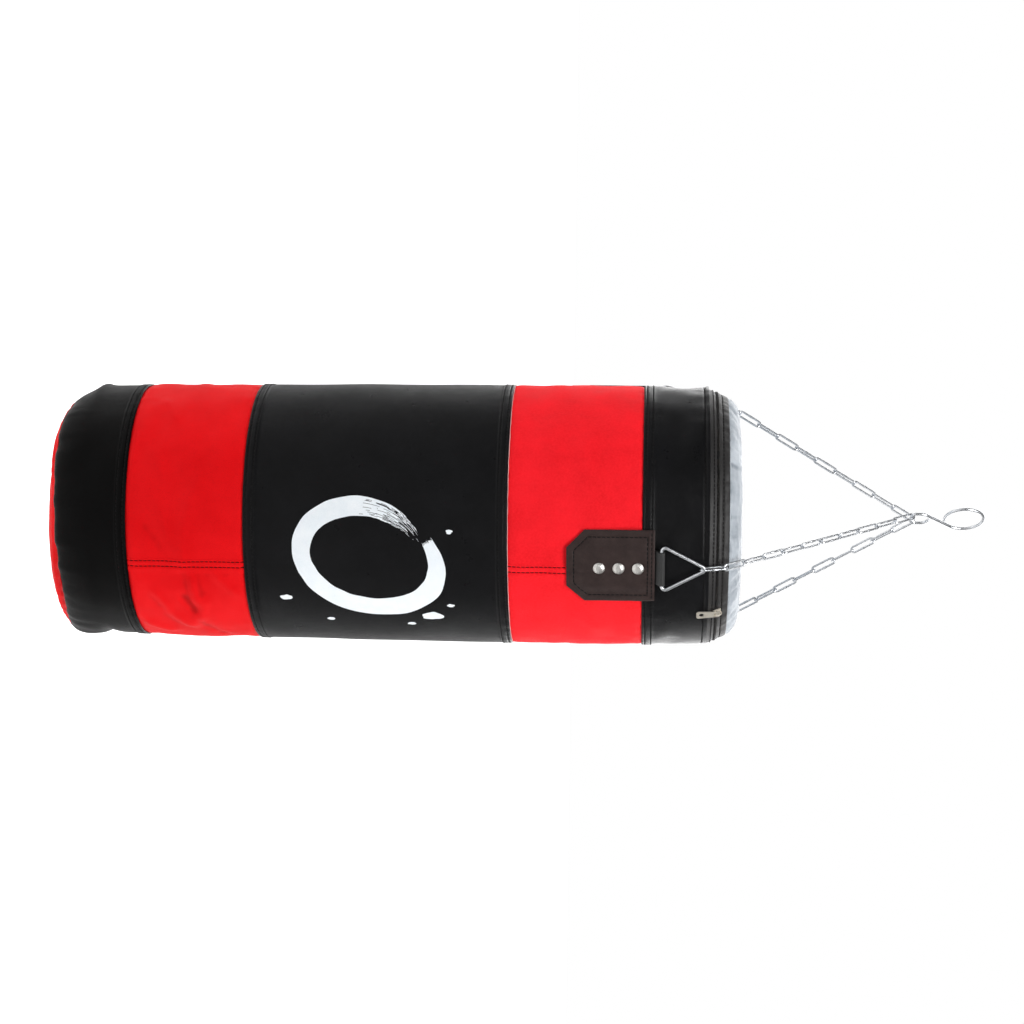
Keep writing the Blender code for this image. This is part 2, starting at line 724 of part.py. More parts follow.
def make_chain(name, angle, seat, mesh):
    joints, across = chain_joints(angle, seat)
    along_wall = Vector((math.cos(angle), math.sin(angle), 0.0))
    rise = (joints[-1] - joints[-2]).normalized()
    start = (along_wall - rise * along_wall.dot(rise)).normalized()
    end = (across - rise * across.dot(rise)).normalized()
    if end.dot(start) < 0:
        end = -end
    twist = start.angle(end)
    if start.cross(end).dot(rise) < 0:
        twist = -twist
    free = LINKS_PER_CHAIN - FIRST_FREE_LINK
    for k in range(1, LINKS_PER_CHAIN + 1):
        low, high = joints[k - 1], joints[k]
        run = (high - low).normalized()
        flat = (along_wall - run * along_wall.dot(run)).normalized()
        turn = twist * max(0, k - FIRST_FREE_LINK) / free
        if k % 2 == 0:
            turn += math.pi / 2
        normal = Matrix.Rotation(turn, 3, run) @ flat
        link = add(f"chain_{name}_link_{k:02d}", mesh)
        link.matrix_world = axes_matrix((low + high) / 2, normal.cross(run), normal, run)


def make_chains():
    zinc = material("chain_zinc", srgb(210, 212, 214), 0.25, 1.0)
    pattern = wire("chain_link", link_outline(), LINK_WIRE, zinc, cyclic=True, sides=6)
    mesh = pattern.data
    bpy.data.objects.remove(pattern)
    for name, angle in STRAPS:
        make_chain(name, angle, SEATS[name], mesh)


clear_scene()
PARTS = collection("hanging_bag")
CUTTERS = collection("cutters")
make_skin()
make_inside()
make_zip_and_lid()
make_slider()
make_straps()
make_hook()
make_chains()
bpy.context.view_layer.update()
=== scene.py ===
import math

import bpy
import numpy as np
from mathutils import Matrix, Vector, noise


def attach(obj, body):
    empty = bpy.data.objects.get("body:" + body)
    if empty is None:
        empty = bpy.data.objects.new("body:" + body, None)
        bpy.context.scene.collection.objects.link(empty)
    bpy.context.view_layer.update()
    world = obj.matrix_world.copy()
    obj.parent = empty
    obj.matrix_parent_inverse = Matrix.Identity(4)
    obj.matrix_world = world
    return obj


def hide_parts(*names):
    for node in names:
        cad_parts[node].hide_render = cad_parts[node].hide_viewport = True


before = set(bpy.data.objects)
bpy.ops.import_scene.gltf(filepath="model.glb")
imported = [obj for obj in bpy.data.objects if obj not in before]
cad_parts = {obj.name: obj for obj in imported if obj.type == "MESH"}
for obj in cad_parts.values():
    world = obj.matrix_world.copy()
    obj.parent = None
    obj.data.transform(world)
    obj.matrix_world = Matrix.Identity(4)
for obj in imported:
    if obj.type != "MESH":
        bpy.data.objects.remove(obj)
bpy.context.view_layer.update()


# ==================================================================== camera
# The bag hangs upright along Z. The camera stands in front of it at the height of the top band
# and is turned a quarter turn about its line of sight, so the hook points to the right.
CAMERA_PLACE = Vector((-0.00175, -2.69, -0.3837))
CAMERA_PITCH = math.radians(3.43)
CAMERA_ROLL = math.radians(0.71)
CAMERA_LENS = 80.86

level = Vector((0.0, math.sin(CAMERA_PITCH), math.cos(CAMERA_PITCH)))
side = Vector((1.0, 0.0, 0.0))
camera_right = level * math.cos(CAMERA_ROLL) - side * math.sin(CAMERA_ROLL)
camera_up = -(level * math.sin(CAMERA_ROLL) + side * math.cos(CAMERA_ROLL))
camera_back = camera_right.cross(camera_up)
camera = bpy.data.objects.new("camera", bpy.data.cameras.new("camera"))
camera.data.lens = CAMERA_LENS
camera.data.sensor_width = 36.0
camera.data.clip_end = 60.0
turned_to = Matrix((camera_right, camera_up, camera_back)).transposed().to_4x4()
camera.matrix_world = Matrix.Translation(CAMERA_PLACE) @ turned_to
bpy.context.scene.collection.objects.link(camera)
bpy.context.scene.camera = camera


# ==================================================================== base disc
# A disc of red coated leather closes the bottom. It is sewn to the base band inside the fold
# and the filling pushes it down into a shallow dome with soft dents.
LID_SEAM = -0.2960
ZIP_SEAM = -0.3175
TOP_SEAM = -0.3917
UPPER_SEAM = -0.5412
LOWER_SEAM = -0.8375
BAND_SEAM = -0.9697
CORNER_START = -1.0120
BASE_SEAM = -1.0538
BASE_BOTTOM = -1.0818
BASE_SEAM_RADIUS = 0.1310
CORNER_RADIUS = 0.1460
WALL_HEIGHTS = (CORNER_START, BAND_SEAM, LOWER_SEAM, UPPER_SEAM, TOP_SEAM, ZIP_SEAM, LID_SEAM)
WALL_RADII = (CORNER_RADIUS, 0.1468, 0.1482, 0.1503, 0.1500, 0.1485, 0.1385)
COLUMNS = 480
HOLLOW_SPREAD = 6
HOLLOW_START = 0.00016
HOLLOW_DEPTH = 0.0006
LEATHER_THICKNESS = 0.0012
BASE_COLUMNS = 360
FULL_CORNER = 0.0085
SLACK_CORNER = 0.0105


def wall_radius(height):
    return np.interp(height, WALL_HEIGHTS, WALL_RADII)


def ripple(turn, height, across, tall, seed):
    """Smooth noise on the bag's wall, with its own size round the bag and up the bag."""
    turn, height = np.broadcast_arrays(turn, height)
    x = np.sin(turn) * 0.15 / across + seed * 7.31
    y = np.cos(turn) * 0.15 / across - seed * 3.17
    z = height / tall + seed
    flat = zip(x.ravel().tolist(), y.ravel().tolist(), z.ravel().tolist())
    made = np.fromiter((noise.noise(p) for p in flat), float, x.size)
    return made.reshape(x.shape)


def ramp(value, start, end):
    """0 before start, 1 after end, smooth between."""
    share = np.clip((value - start) / (end - start), 0.0, 1.0)
    return share * share * (3.0 - 2.0 * share)


def add_piece(name, vertices, faces, finish, body="bag", stands_for=()):
    mesh = bpy.data.meshes.new(name)
    mesh.from_pydata([tuple(v) for v in vertices], [], faces)
    mesh.shade_smooth()
    mesh.materials.append(finish)
    made = bpy.data.objects.new(name, mesh)
    bpy.context.scene.collection.objects.link(made)
    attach(made, body)
    if stands_for:
        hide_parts(*stands_for)
    return made


def give_thickness(made, thickness):
    cloth = made.modifiers.new("thickness", "SOLIDIFY")
    cloth.thickness = thickness
    cloth.offset = -1.0


def turned_grid(profile, relief, columns, extra=()):
    """Vertices, faces and hollows of a sheet turned about Z, from the top of its profile down.
    Extra angles add columns where a seam needs them."""
    rows = np.array(profile, float)
    run = np.gradient(rows, axis=0)
    run /= np.linalg.norm(run, axis=1)[:, None]
    turn = np.linspace(0.0, 2 * math.pi, columns, endpoint=False)
    turn = np.unique(np.round(np.concatenate([turn, extra]), 5))
    columns = len(turn)
    turns, heights = np.meshgrid(turn, rows[:, 1])
    lift = relief(turns, heights, rows[:, 0][:, None])
    radius = rows[:, 0][:, None] - run[:, 1][:, None] * lift
    height = rows[:, 1][:, None] + run[:, 0][:, None] * lift
    grid = np.stack([radius * np.sin(turns), -radius * np.cos(turns), height], axis=2)
    vertices = grid.reshape(-1, 3)
    faces = []
    for j in range(len(rows) - 1):
        for i in range(columns):
            after = (i + 1) % columns
            low = (j + 1) * columns
            faces.append((j * columns + i, low + i, low + after, j * columns + after))
    return vertices, faces, hollows(lift)


def hollows(lift):
    """How far each point lies below the surface around it: 0 down to HOLLOW_START, and 1 from
    HOLLOW_DEPTH below that."""
    around = lift.copy()
    for _ in range(HOLLOW_SPREAD):
        up = np.vstack([around[:1], around[:-1]])
        down = np.vstack([around[1:], around[-1:]])
        sides = np.roll(around, 1, axis=1) + np.roll(around, -1, axis=1)
        around = 0.2 * (around + up + down + sides)
    return np.clip((around - lift - HOLLOW_START) / HOLLOW_DEPTH, 0.0, 1.0).ravel()


def mark_hollow_shade(made, depth):
    """Stores the hollows on the mesh, where the materials paint shade into the colour."""
    values = np.zeros(len(made.data.vertices), np.float32)
    values[:len(depth)] = depth
    made.data.attributes.new("hollow", "FLOAT", "POINT").data.foreach_set("value", values)


def close_pole(vertices, faces, columns, first):
    """Closes the ring at a grid's first or last row with one vertex on the axis."""
    start = 0 if first else len(vertices) - columns
    ring = vertices[start:start + columns]
    pole = np.array([[0.0, 0.0, ring[:, 2].mean()]])
    tip = len(vertices)
    for i in range(columns):
        after = (i + 1) % columns
        pair = (start + i, start + after) if first else (start + after, start + i)
        faces.append((tip, *pair))
    return np.vstack([vertices, pole]), faces


def tone(red, green, blue):
    """A colour by its screen values, as linear light."""
    linear = [((c / 255 + 0.055) / 1.055) ** 2.4 for c in (red, green, blue)]
    return (*linear, 1.0)


def add_node(tree, kind, **settings):
    """A shader node with its properties and its inputs' values set by name."""
    made = tree.nodes.new(kind)
    for key, value in settings.items():
        label = key.replace("_", " ").title()
        if hasattr(made, key):
            setattr(made, key, value)
        elif label in made.inputs:
            made.inputs[label].default_value = value
        else:
            raise KeyError(f"{kind} has no {key}")
    return made


def new_group(name, inputs, outputs):
    group = bpy.data.node_groups.new(name, "ShaderNodeTree")
    for label, kind, value in inputs:
        socket = group.interface.new_socket(label, in_out="INPUT", socket_type=kind)
        if value is not None:
            socket.default_value = value
    for label, kind in outputs:
        group.interface.new_socket(label, in_out="OUTPUT", socket_type=kind)
    start = group.nodes.new("NodeGroupInput")
    end = group.nodes.new("NodeGroupOutput")
    return group, start, end


def mixed(tree, low, high, share):
    """A colour between two colours, by a factor socket."""
    mix = tree.nodes.new("ShaderNodeMix")
    mix.data_type = "RGBA"
    for socket, value in ((mix.inputs[6], low), (mix.inputs[7], high)):
        if isinstance(value, tuple):
            socket.default_value = value
        else:
            tree.links.new(value, socket)
    tree.links.new(share, mix.inputs[0])
    return mix.outputs[2]


def scaled(tree, value, low, high):
    """A value socket from 0 to 1 spread from low to high."""
    spread = add_node(tree, "ShaderNodeMapRange")
    spread.inputs["To Min"].default_value = low
    spread.inputs["To Max"].default_value = high
    tree.links.new(value, spread.inputs["Value"])
    return spread.outputs["Result"]


def leather_grain_group():
    """Small rounded pebbles between fine creases, with pores."""
    group, start, end = new_group(
        "leather_grain",
        [("Place", "NodeSocketVector", None), ("Pebbles", "NodeSocketFloat", 700.0)],
        [("Height", "NodeSocketFloat"), ("Creases", "NodeSocketFloat")],
    )
    cells = add_node(group, "ShaderNodeTexVoronoi", feature="DISTANCE_TO_EDGE")
    fine = add_node(group, "ShaderNodeTexNoise", detail=3.0)
    double = add_node(group, "ShaderNodeMath", operation="MULTIPLY")
    double.inputs[1].default_value = 2.3
    group.links.new(start.outputs["Place"], cells.inputs["Vector"])
    group.links.new(start.outputs["Place"], fine.inputs["Vector"])
    group.links.new(start.outputs["Pebbles"], cells.inputs["Scale"])
    group.links.new(start.outputs["Pebbles"], double.inputs[0])
    group.links.new(double.outputs[0], fine.inputs["Scale"])
    edge = add_node(group, "ShaderNodeMapRange", interpolation_type="SMOOTHSTEP")
    edge.inputs["From Max"].default_value = 0.16
    group.links.new(cells.outputs["Distance"], edge.inputs["Value"])
    total = add_node(group, "ShaderNodeMath", operation="MULTIPLY_ADD")
    total.inputs[1].default_value = 0.45
    group.links.new(fine.outputs["Fac"], total.inputs[0])
    group.links.new(edge.outputs["Result"], total.inputs[2])
    group.links.new(total.outputs[0], end.inputs["Height"])
    flip = add_node(group, "ShaderNodeMath", operation="SUBTRACT")
    flip.inputs[0].default_value = 1.0
    group.links.new(edge.outputs["Result"], flip.inputs[1])
    group.links.new(flip.outputs[0], end.inputs["Creases"])
    return group


def mottle_group():
    """Soft blotches, for uneven dye, handling and dust."""
    group, start, end = new_group(
        "mottle",
        [
            ("Place", "NodeSocketVector", None),
            ("Patches", "NodeSocketFloat", 20.0),
            ("Contrast", "NodeSocketFloat", 1.0),
        ],
        [("Mask", "NodeSocketFloat")],
    )
    cloud = add_node(group, "ShaderNodeTexNoise", detail=6.0, roughness=0.6)
    group.links.new(start.outputs["Place"], cloud.inputs["Vector"])
    group.links.new(start.outputs["Patches"], cloud.inputs["Scale"])
    centre = add_node(group, "ShaderNodeMath", operation="SUBTRACT")
    centre.inputs[1].default_value = 0.5
    spread = add_node(group, "ShaderNodeMath", operation="MULTIPLY_ADD", use_clamp=True)
    spread.inputs[2].default_value = 0.5
    group.links.new(cloud.outputs["Fac"], centre.inputs[0])
    group.links.new(centre.outputs[0], spread.inputs[0])
    group.links.new(start.outputs["Contrast"], spread.inputs[1])
    group.links.new(spread.outputs[0], end.inputs["Mask"])
    return group


LEATHER_GRAIN = leather_grain_group()
MOTTLE = mottle_group()


def place_group(tree, group, place, **values):
    made = tree.nodes.new("ShaderNodeGroup")
    made.node_tree = group
    tree.links.new(place, made.inputs["Place"])
    for key, value in values.items():
        made.inputs[key.replace("_", " ").title()].default_value = value
    return made


def new_material(name, **settings):
    """A material with its Principled shader's constant values set on their own sockets."""
    made = bpy.data.materials.new(name)
    made.use_nodes = True
    tree = made.node_tree
    shader = tree.nodes["Principled BSDF"]
    for key, value in settings.items():
        shader.inputs[key.replace("_", " ").title().replace("Ior", "IOR")].default_value = value
    place = tree.nodes.new("ShaderNodeTexCoord").outputs["Object"]
    return made, tree, shader, place


def painted_shade_share(tree, most):
    """A factor socket that rises from 0 to most in the mesh's stored hollows: how strongly
    painted shade darkens the colour there.
    """
    hollow = add_node(tree, "ShaderNodeAttribute", attribute_name="hollow")
    return scaled(tree, hollow.outputs["Fac"], 0.0, most)


def join_bump(tree, shader, height, strength, depth):
    bump = add_node(tree, "ShaderNodeBump", strength=strength, distance=depth)
    tree.links.new(height, bump.inputs["Height"])
    tree.links.new(bump.outputs["Normal"], shader.inputs["Normal"])


def coated_leather(name, low, high, rough, pebbles, depth, patches, contrast, **settings):
    """Leather with a coloured coat: blotches of two tones, darker creases, uneven gloss, and
    painted shade in the mesh's hollows.
    """
    made, tree, shader, place = new_material(name, **settings)
    grain = place_group(tree, LEATHER_GRAIN, place, pebbles=pebbles)
    blotch = place_group(tree, MOTTLE, place, patches=patches, contrast=contrast)
    gloss = place_group(tree, MOTTLE, place, patches=patches * 2.7, contrast=1.6)
    colour = mixed(tree, low, high, blotch.outputs["Mask"])
    creased = scaled(tree, grain.outputs["Creases"], 0.0, 0.22)
    dark = tuple(c * 0.45 for c in low[:3]) + (1.0,)
    colour = mixed(tree, colour, dark, creased)
    # Painted shade: a darker copy of the low tone, laid into the mesh's hollows.
    shade_tone = tuple(c * 0.30 for c in low[:3]) + (1.0,)
    sunk = painted_shade_share(tree, 0.5)
    tree.links.new(mixed(tree, colour, shade_tone, sunk), shader.inputs["Base Color"])
    sheen = scaled(tree, gloss.outputs["Mask"], rough - 0.06, rough + 0.08)
    tree.links.new(sheen, shader.inputs["Roughness"])
    join_bump(tree, shader, grain.outputs["Height"], 0.5, depth)
    return made


RED_LEATHER = coated_leather(
    "red_leather", tone(222, 12, 18), tone(242, 22, 28), 0.46, 900.0, 0.00012, 14.0, 2.2,
    specular_ior_level=0.04,
)


def beside(turn, degrees, width):
    """1 at one angle round the bag, and fading to 0 on both sides of it."""
    return np.exp(-((turn - math.radians(degrees)) / width) ** 2)


def corner_slump(turn):
    """How far the filling pushes the bottom corner out, by the angle round the bag."""
    return FULL_CORNER * beside(turn, 88, 0.45) - SLACK_CORNER * beside(turn, 244, 0.95)


def rim_line(turn):
    """How far down the wavy seam between the band and the disc runs, by the angle."""
    under = 0.0046 * beside(turn, 312, 0.62)
    under = under - 0.0014 * beside(turn, 28, 0.20)
    return under + 0.0016 * ripple(turn, 0.0, 0.034, 0.060, 14.0)


def disc_relief(turn, height, radius):
    share = radius / BASE_SEAM_RADIUS
    dent = 0.0016 * ripple(turn, radius * 3.0, 0.050, 0.060, 3.0)
    pucker = 0.0009 * ripple(turn, height, 0.010, 0.020, 4.0) * ramp(share, 0.75, 1.0)
    pushed = 0.0014 + 0.0042 * beside(turn, 52, 0.50)
    pushed = pushed + 0.0020 * beside(turn, 318, 0.50)
    dent = dent + pushed * ramp(share, 0.62, 0.88) * (1.0 - ramp(share, 0.93, 1.0))
    rim = corner_slump(turn) * ramp(share, 0.6, 1.0) + rim_line(turn) * ramp(share, 0.84, 1.0)
    return (dent + pucker + rim) * ramp(share, 0.0, 0.2)


def make_base_disc():
    sag = BASE_SEAM - BASE_BOTTOM - 0.002
    steps = [0.004 + (BASE_SEAM_RADIUS + 0.001) * k / 70 for k in range(70)][::-1]
    profile = [(r, BASE_BOTTOM + 0.0015 + sag * (r / BASE_SEAM_RADIUS) ** 2.6) for r in steps]
    vertices, faces, depth = turned_grid(profile, disc_relief, BASE_COLUMNS)
    vertices, faces = close_pole(vertices, faces, BASE_COLUMNS, False)
    disc = add_piece("base_disc_skin", vertices, faces, RED_LEATHER,
                     stands_for=["base_disc"])
    mark_hollow_shade(disc, depth)
    give_thickness(disc, LEATHER_THICKNESS)


make_base_disc()


# ==================================================================== base band
# A black coated leather band turns under at the bottom corner, where it is gathered a little
# and sewn to the disc. Its upper edge is folded and carries two rows of stitching.
BLACK_LEATHER = coated_leather(
    "black_leather", tone(11, 11, 12), tone(20, 20, 22), 0.30, 820.0, 0.00014, 18.0, 1.8,
    specular_ior_level=0.12,
)
# The base band's leather is a darker copy of the black leather: painted shade for the bottom
# band, which lies farther from the lights.
SHADED_BLACK_LEATHER = coated_leather(
    "black_leather_painted_shade", tone(4, 3, 3), tone(9, 8, 8), 0.32, 820.0, 0.00014, 18.0, 1.8,
    specular_ior_level=0.06,
)
FOLD_DEPTH = 0.0125
FOLD_HEIGHT = 0.0009
STITCH_ROWS = (0.0036, 0.0105)
GROOVE_DEPTH = 0.00065
GROOVE_WIDTH = 0.0009
FINE_STEP = 0.0007
COARSE_STEP = 0.0024
BASE_DENT_HEIGHT = -1.0140
BASE_CUT_HEIGHT = -1.0255
BASE_DENT = 0.0042


def folded_edge(turn, gap, seed):
    """The relief beside a folded and twice stitched edge, by the distance from the edge."""
    ridge = FOLD_HEIGHT * (1.0 - ramp(gap, FOLD_DEPTH - 0.002, FOLD_DEPTH + 0.0015))
    rolled = -0.0011 * np.exp(-gap / 0.0006)
    rows = sum(np.exp(-((gap - row) / GROOVE_WIDTH) ** 2) for row in STITCH_ROWS)
    pucker = ripple(turn, gap, 0.0085, 0.020, seed) * np.exp(-gap / 0.011)
    return ridge + rolled - GROOVE_DEPTH * rows + 0.00055 * pucker


def tucked_edge(turn, gap, seed):
    """The relief of an edge that runs in under its neighbour's fold."""
    drop = -0.0013 * np.exp(-np.maximum(gap, 0.0) / 0.0030)
    pucker = ripple(turn, gap, 0.012, 0.030, seed) * np.exp(-np.maximum(gap, 0.0) / 0.014)
    return drop + 0.0006 * pucker


def graded_rows(high, low, fine_high, fine_low):
    """Heights from high to low, close together beside the edges that carry a fold."""
    rows, height = [], high
    while height > low + 0.3 * FINE_STEP:
        rows.append(height)
        near = (fine_high and high - height < 0.016) or (fine_low and height - low < 0.016)
        height -= FINE_STEP if near else COARSE_STEP
    return rows + [low]


def spot(turn, height, degrees, at_height, width, tall):
    """1 at one place on the wall, and fading to 0 round the bag and up it."""
    off, up = turn - math.radians(degrees), height - at_height
    return np.exp(-(off / width) ** 2 - (up / tall) ** 2)


def base_band_relief(turn, height, radius):
    lift = folded_edge(turn, BAND_SEAM - height, 11.0)
    turned_in = ramp(-height, -CORNER_START, -BASE_SEAM)
    lift = lift + corner_slump(turn) * ramp(-height, -CORNER_START - 0.002, -BASE_SEAM + 0.006)
    gathers = ripple(turn, height, 0.013, 0.060, 12.0)
    lift = lift + 0.0014 * gathers * turned_in
    lift = lift + 0.0011 * ripple(turn, height, 0.045, 0.040, 13.0)
    dent = spot(turn, height, 90, BASE_DENT_HEIGHT, 0.26, 0.008)
    cut = spot(turn, height, 264, BASE_CUT_HEIGHT, 0.45, 0.007)
    return lift - BASE_DENT * dent + BASE_DENT * cut + rim_line(turn) * turned_in


def base_edge_profile():
    rows = [(wall_radius(z), z) for z in graded_rows(BAND_SEAM, CORNER_START, True, False)]
    wide = CORNER_RADIUS - BASE_SEAM_RADIUS
    for k in range(1, 25):
        bend = math.pi / 2 * k / 24
        rows.append((BASE_SEAM_RADIUS + wide * math.cos(bend),
                     CORNER_START - (CORNER_START - BASE_SEAM) * math.sin(bend)))
    rows += [(BASE_SEAM_RADIUS - 0.0010, BASE_SEAM + 0.0002),
             (BASE_SEAM_RADIUS - 0.0016, BASE_SEAM + 0.0012)]
    return rows


def add_band(name, profile, relief, finish, node, extra=()):
    vertices, faces, depth = turned_grid(profile, relief, COLUMNS, extra)
    band = add_piece(name, vertices, faces, finish, stands_for=[node])
    mark_hollow_shade(band, depth)
    give_thickness(band, LEATHER_THICKNESS)
    return band


add_band("base_band_skin", base_edge_profile(), base_band_relief, SHADED_BLACK_LEATHER,
         "base_band")


# ==================================================================== lower red band
# One strip of red coated leather, closed by a lapped seam with two rows of dark red thread.
# The filling has settled under it, so it shows slack folds, mostly on the seam's side.
TUCK = 0.0045
LAP_TURN = math.radians(24.5)
LAP_RADIUS = 0.149
LAP_ROWS = (-0.0034, 0.0034)
LAP_HEIGHT = 0.0008
LAP_COLUMNS = LAP_TURN + np.arange(-0.0075, 0.0076, 0.0005) / LAP_RADIUS
FOLD_RADIUS = 0.1485


def turn_from(turn, at_turn):
    """The angle from one place round the bag to another, the short way."""
    return (turn - at_turn + math.pi) % (2 * math.pi) - math.pi


def soft_fold(turn, height, at_turn, at_height, length, width, lean, depth):
    """One slack fold: a ridge of a given length and width at a lean from upright."""
    along_wall = turn_from(turn, at_turn) * FOLD_RADIUS
    up = height - at_height
    across = along_wall * math.cos(lean) - up * math.sin(lean)
    along = along_wall * math.sin(lean) + up * math.cos(lean)
    ends = 1.0 - ramp(np.abs(along), 0.35 * length, length)
    return 1.7 * depth * np.exp(-(across / (1.6 * width)) ** 2) * ends


def lapped_seam(turn):
    """The lap of a strip's two ends: a low step with a groove along each row of thread."""
    off = turn_from(turn, LAP_TURN) * LAP_RADIUS
    step = LAP_HEIGHT * ramp(off, -0.0065, -0.0052) * (1.0 - ramp(off, 0.006, 0.014))
    rows = sum(np.exp(-((off - row) / 0.0010) ** 2) for row in LAP_ROWS)
    return step - 0.0012 * rows


LOWER_FOLDS = (
    (38, -0.897, 0.030, 0.0034, 86, 0.0020), (47, -0.905, 0.026, 0.0040, 70, -0.0016),
    (57, -0.917, 0.034, 0.0048, 52, 0.0020), (50, -0.890, 0.030, 0.0046, 104, 0.0016),
    (65, -0.945, 0.030, 0.0050, 40, 0.0018), (44, -0.935, 0.026, 0.0040, 60, 0.0014),
    (34, -0.860, 0.030, 0.0040, 50, 0.0012), (70, -0.885, 0.036, 0.0050, 64, -0.0014),
    (15, -0.905, 0.040, 0.0052, 96, 0.0011), (5, -0.925, 0.038, 0.0060, 72, 0.0010),
    (-4, -0.895, 0.044, 0.0060, 110, 0.0009), (12, -0.940, 0.030, 0.0050, 55, -0.0010),
    (-18, -0.930, 0.040, 0.0060, 66, 0.0009), (150, -0.900, 0.044, 0.0056, 80, 0.0014),
    (170, -0.930, 0.040, 0.0048, 58, 0.0014), (215, -0.895, 0.044, 0.0056, 112, 0.0012),
    (262, -0.915, 0.040, 0.0056, 74, 0.0012), (310, -0.930, 0.036, 0.0050, 60, 0.0011),
)


def lower_band_relief(turn, height, radius):
    below, above = LOWER_SEAM - height, height - BAND_SEAM
    share = np.clip(below / (LOWER_SEAM - BAND_SEAM), 0.0, 1.0)
    lift = 0.0008 * np.sin(math.pi * share) + lapped_seam(turn)
    lift = lift + tucked_edge(turn, below, 21.0) + tucked_edge(turn, above, 22.0)
    inner = ramp(below, -0.001, 0.012) * ramp(above, -0.001, 0.012)
    slack = 0.0017 * ripple(turn, height, 0.042, 0.028, 23.0)
    slack = slack + 0.0002 * ripple(turn, height, 0.014, 0.010, 24.0)
    for at, up, length, width, lean, depth in LOWER_FOLDS:
        slack = slack + soft_fold(turn, height, math.radians(at), up, length, width,
                                  math.radians(lean), depth)
    return lift + slack * inner


def wall_profile(high, low, fine_high, fine_low):
    return [(wall_radius(z), z) for z in graded_rows(high, low, fine_high, fine_low)]


add_band("lower_red_skin", wall_profile(LOWER_SEAM + TUCK, BAND_SEAM - TUCK, False, False),
         lower_band_relief, RED_LEATHER, "lower_red_band", LAP_COLUMNS)


# ==================================================================== middle panel
# A tall panel of black coated leather. Both of its edges are folded over the red strips beside
# it and sewn down with two rows of black thread; its own lap seam is at the back.
MIDDLE_LAP = math.radians(200)


def middle_relief(turn, height, radius):
    below, above = UPPER_SEAM - height, height - LOWER_SEAM
    share = np.clip(below / (UPPER_SEAM - LOWER_SEAM), 0.0, 1.0)
    lift = 0.0007 * np.sin(math.pi * share)
    lift = lift + folded_edge(turn, below, 31.0) + folded_edge(turn, above, 32.0)
    back = turn_from(turn, MIDDLE_LAP) * LAP_RADIUS
    lap = 0.0007 * ramp(back, -0.0060, -0.0050) * (1.0 - ramp(back, 0.006, 0.014))
    return lift + lap + 0.0010 * ripple(turn, height, 0.060, 0.075, 33.0)


add_band("middle_panel_skin", wall_profile(UPPER_SEAM, LOWER_SEAM, True, True),
         middle_relief, BLACK_LEATHER, "middle_panel")


# ==================================================================== upper red band
# A strip of brighter red brushed leather with a matt, cloudy nap. It is lapped and sewn like
# the lower one, and its pale cut edge shows as a thin line beside the middle panel.
def brushed_leather(name, low, high, bright):
    made, tree, shader, place = new_material(
        name, sheen_weight=0.06, sheen_roughness=0.5, specular_ior_level=0.1,
        sheen_tint=tone(255, 120, 120))
    cloud = place_group(tree, MOTTLE, place, patches=26.0, contrast=2.6)
    nap = place_group(tree, MOTTLE, place, patches=420.0, contrast=2.4)
    grain = place_group(tree, LEATHER_GRAIN, place, pebbles=1500.0)
    base = mixed(tree, low, high, cloud.outputs["Mask"])
    brushed = scaled(tree, nap.outputs["Mask"], 0.0, 0.45)
    napped = mixed(tree, base, bright, brushed)
    # Painted shade: the colour darkens to a deep red in the mesh's hollows.
    sunk = painted_shade_share(tree, 0.85)
    tree.links.new(mixed(tree, napped, tone(120, 6, 14), sunk), shader.inputs["Base Color"])
    tree.links.new(scaled(tree, cloud.outputs["Mask"], 0.62, 0.76), shader.inputs["Roughness"])
    join_bump(tree, shader, grain.outputs["Height"], 0.4, 0.00010)
    return made


BRIGHT_LEATHER = brushed_leather("bright_leather", tone(226, 12, 24), tone(246, 24, 36),
                                 tone(254, 42, 52))
UPPER_FOLDS = (
    (-20, -0.455, 0.050, 0.0080, 78, 0.0007), (-32, -0.490, 0.050, 0.0070, 60, 0.0006),
    (5, -0.500, 0.046, 0.0080, 70, -0.0006), (52, -0.455, 0.036, 0.0060, 50, 0.0008),
    (60, -0.500, 0.036, 0.0060, 72, 0.0007), (170, -0.460, 0.050, 0.0070, 72, 0.0007),
    (290, -0.480, 0.050, 0.0070, 70, 0.0006),
)


def upper_band_relief(turn, height, radius):
    below, above = TOP_SEAM - height, height - UPPER_SEAM
    share = np.clip(below / (TOP_SEAM - UPPER_SEAM), 0.0, 1.0)
    lift = 0.0006 * np.sin(math.pi * share) + lapped_seam(turn)
    lift = lift + tucked_edge(turn, below, 41.0) + tucked_edge(turn, above, 42.0)
    inner = ramp(below, -0.001, 0.012) * ramp(above, -0.001, 0.012)
    slack = 0.0014 * ripple(turn, height, 0.040, 0.026, 43.0)
    for at, up, length, width, lean, depth in UPPER_FOLDS:
        slack = slack + soft_fold(turn, height, math.radians(at), up, length, width,
                                  math.radians(lean), depth)
    return lift + slack * inner


add_band("upper_red_skin", wall_profile(TOP_SEAM + TUCK, UPPER_SEAM - TUCK, False, False),
         upper_band_relief, BRIGHT_LEATHER, "upper_red_band", LAP_COLUMNS)


def round_cord(name, height, lift, thick, finish, seed):
    """A thin round edge that follows the wall at one height."""
    sides = 6
    vertices, faces = [], []
    for i in range(COLUMNS):
        turn = 2 * math.pi * i / COLUMNS
        wave = 0.0003 * noise.noise((math.sin(turn) * 14, math.cos(turn) * 14, seed))
        for k in range(sides):
            bend = 2 * math.pi * k / sides
            radius = wall_radius(height) + lift + wave + thick * math.cos(bend)
            up = height + wave + thick * math.sin(bend)
            vertices.append((radius * math.sin(turn), -radius * math.cos(turn), up))
    for i in range(COLUMNS):
        for k in range(sides):
            here, along = i * sides, (i + 1) % COLUMNS * sides
            on = (k + 1) % sides
            faces.append((here + k, along + k, along + on, here + on))
    return add_piece(name, vertices, faces, finish)


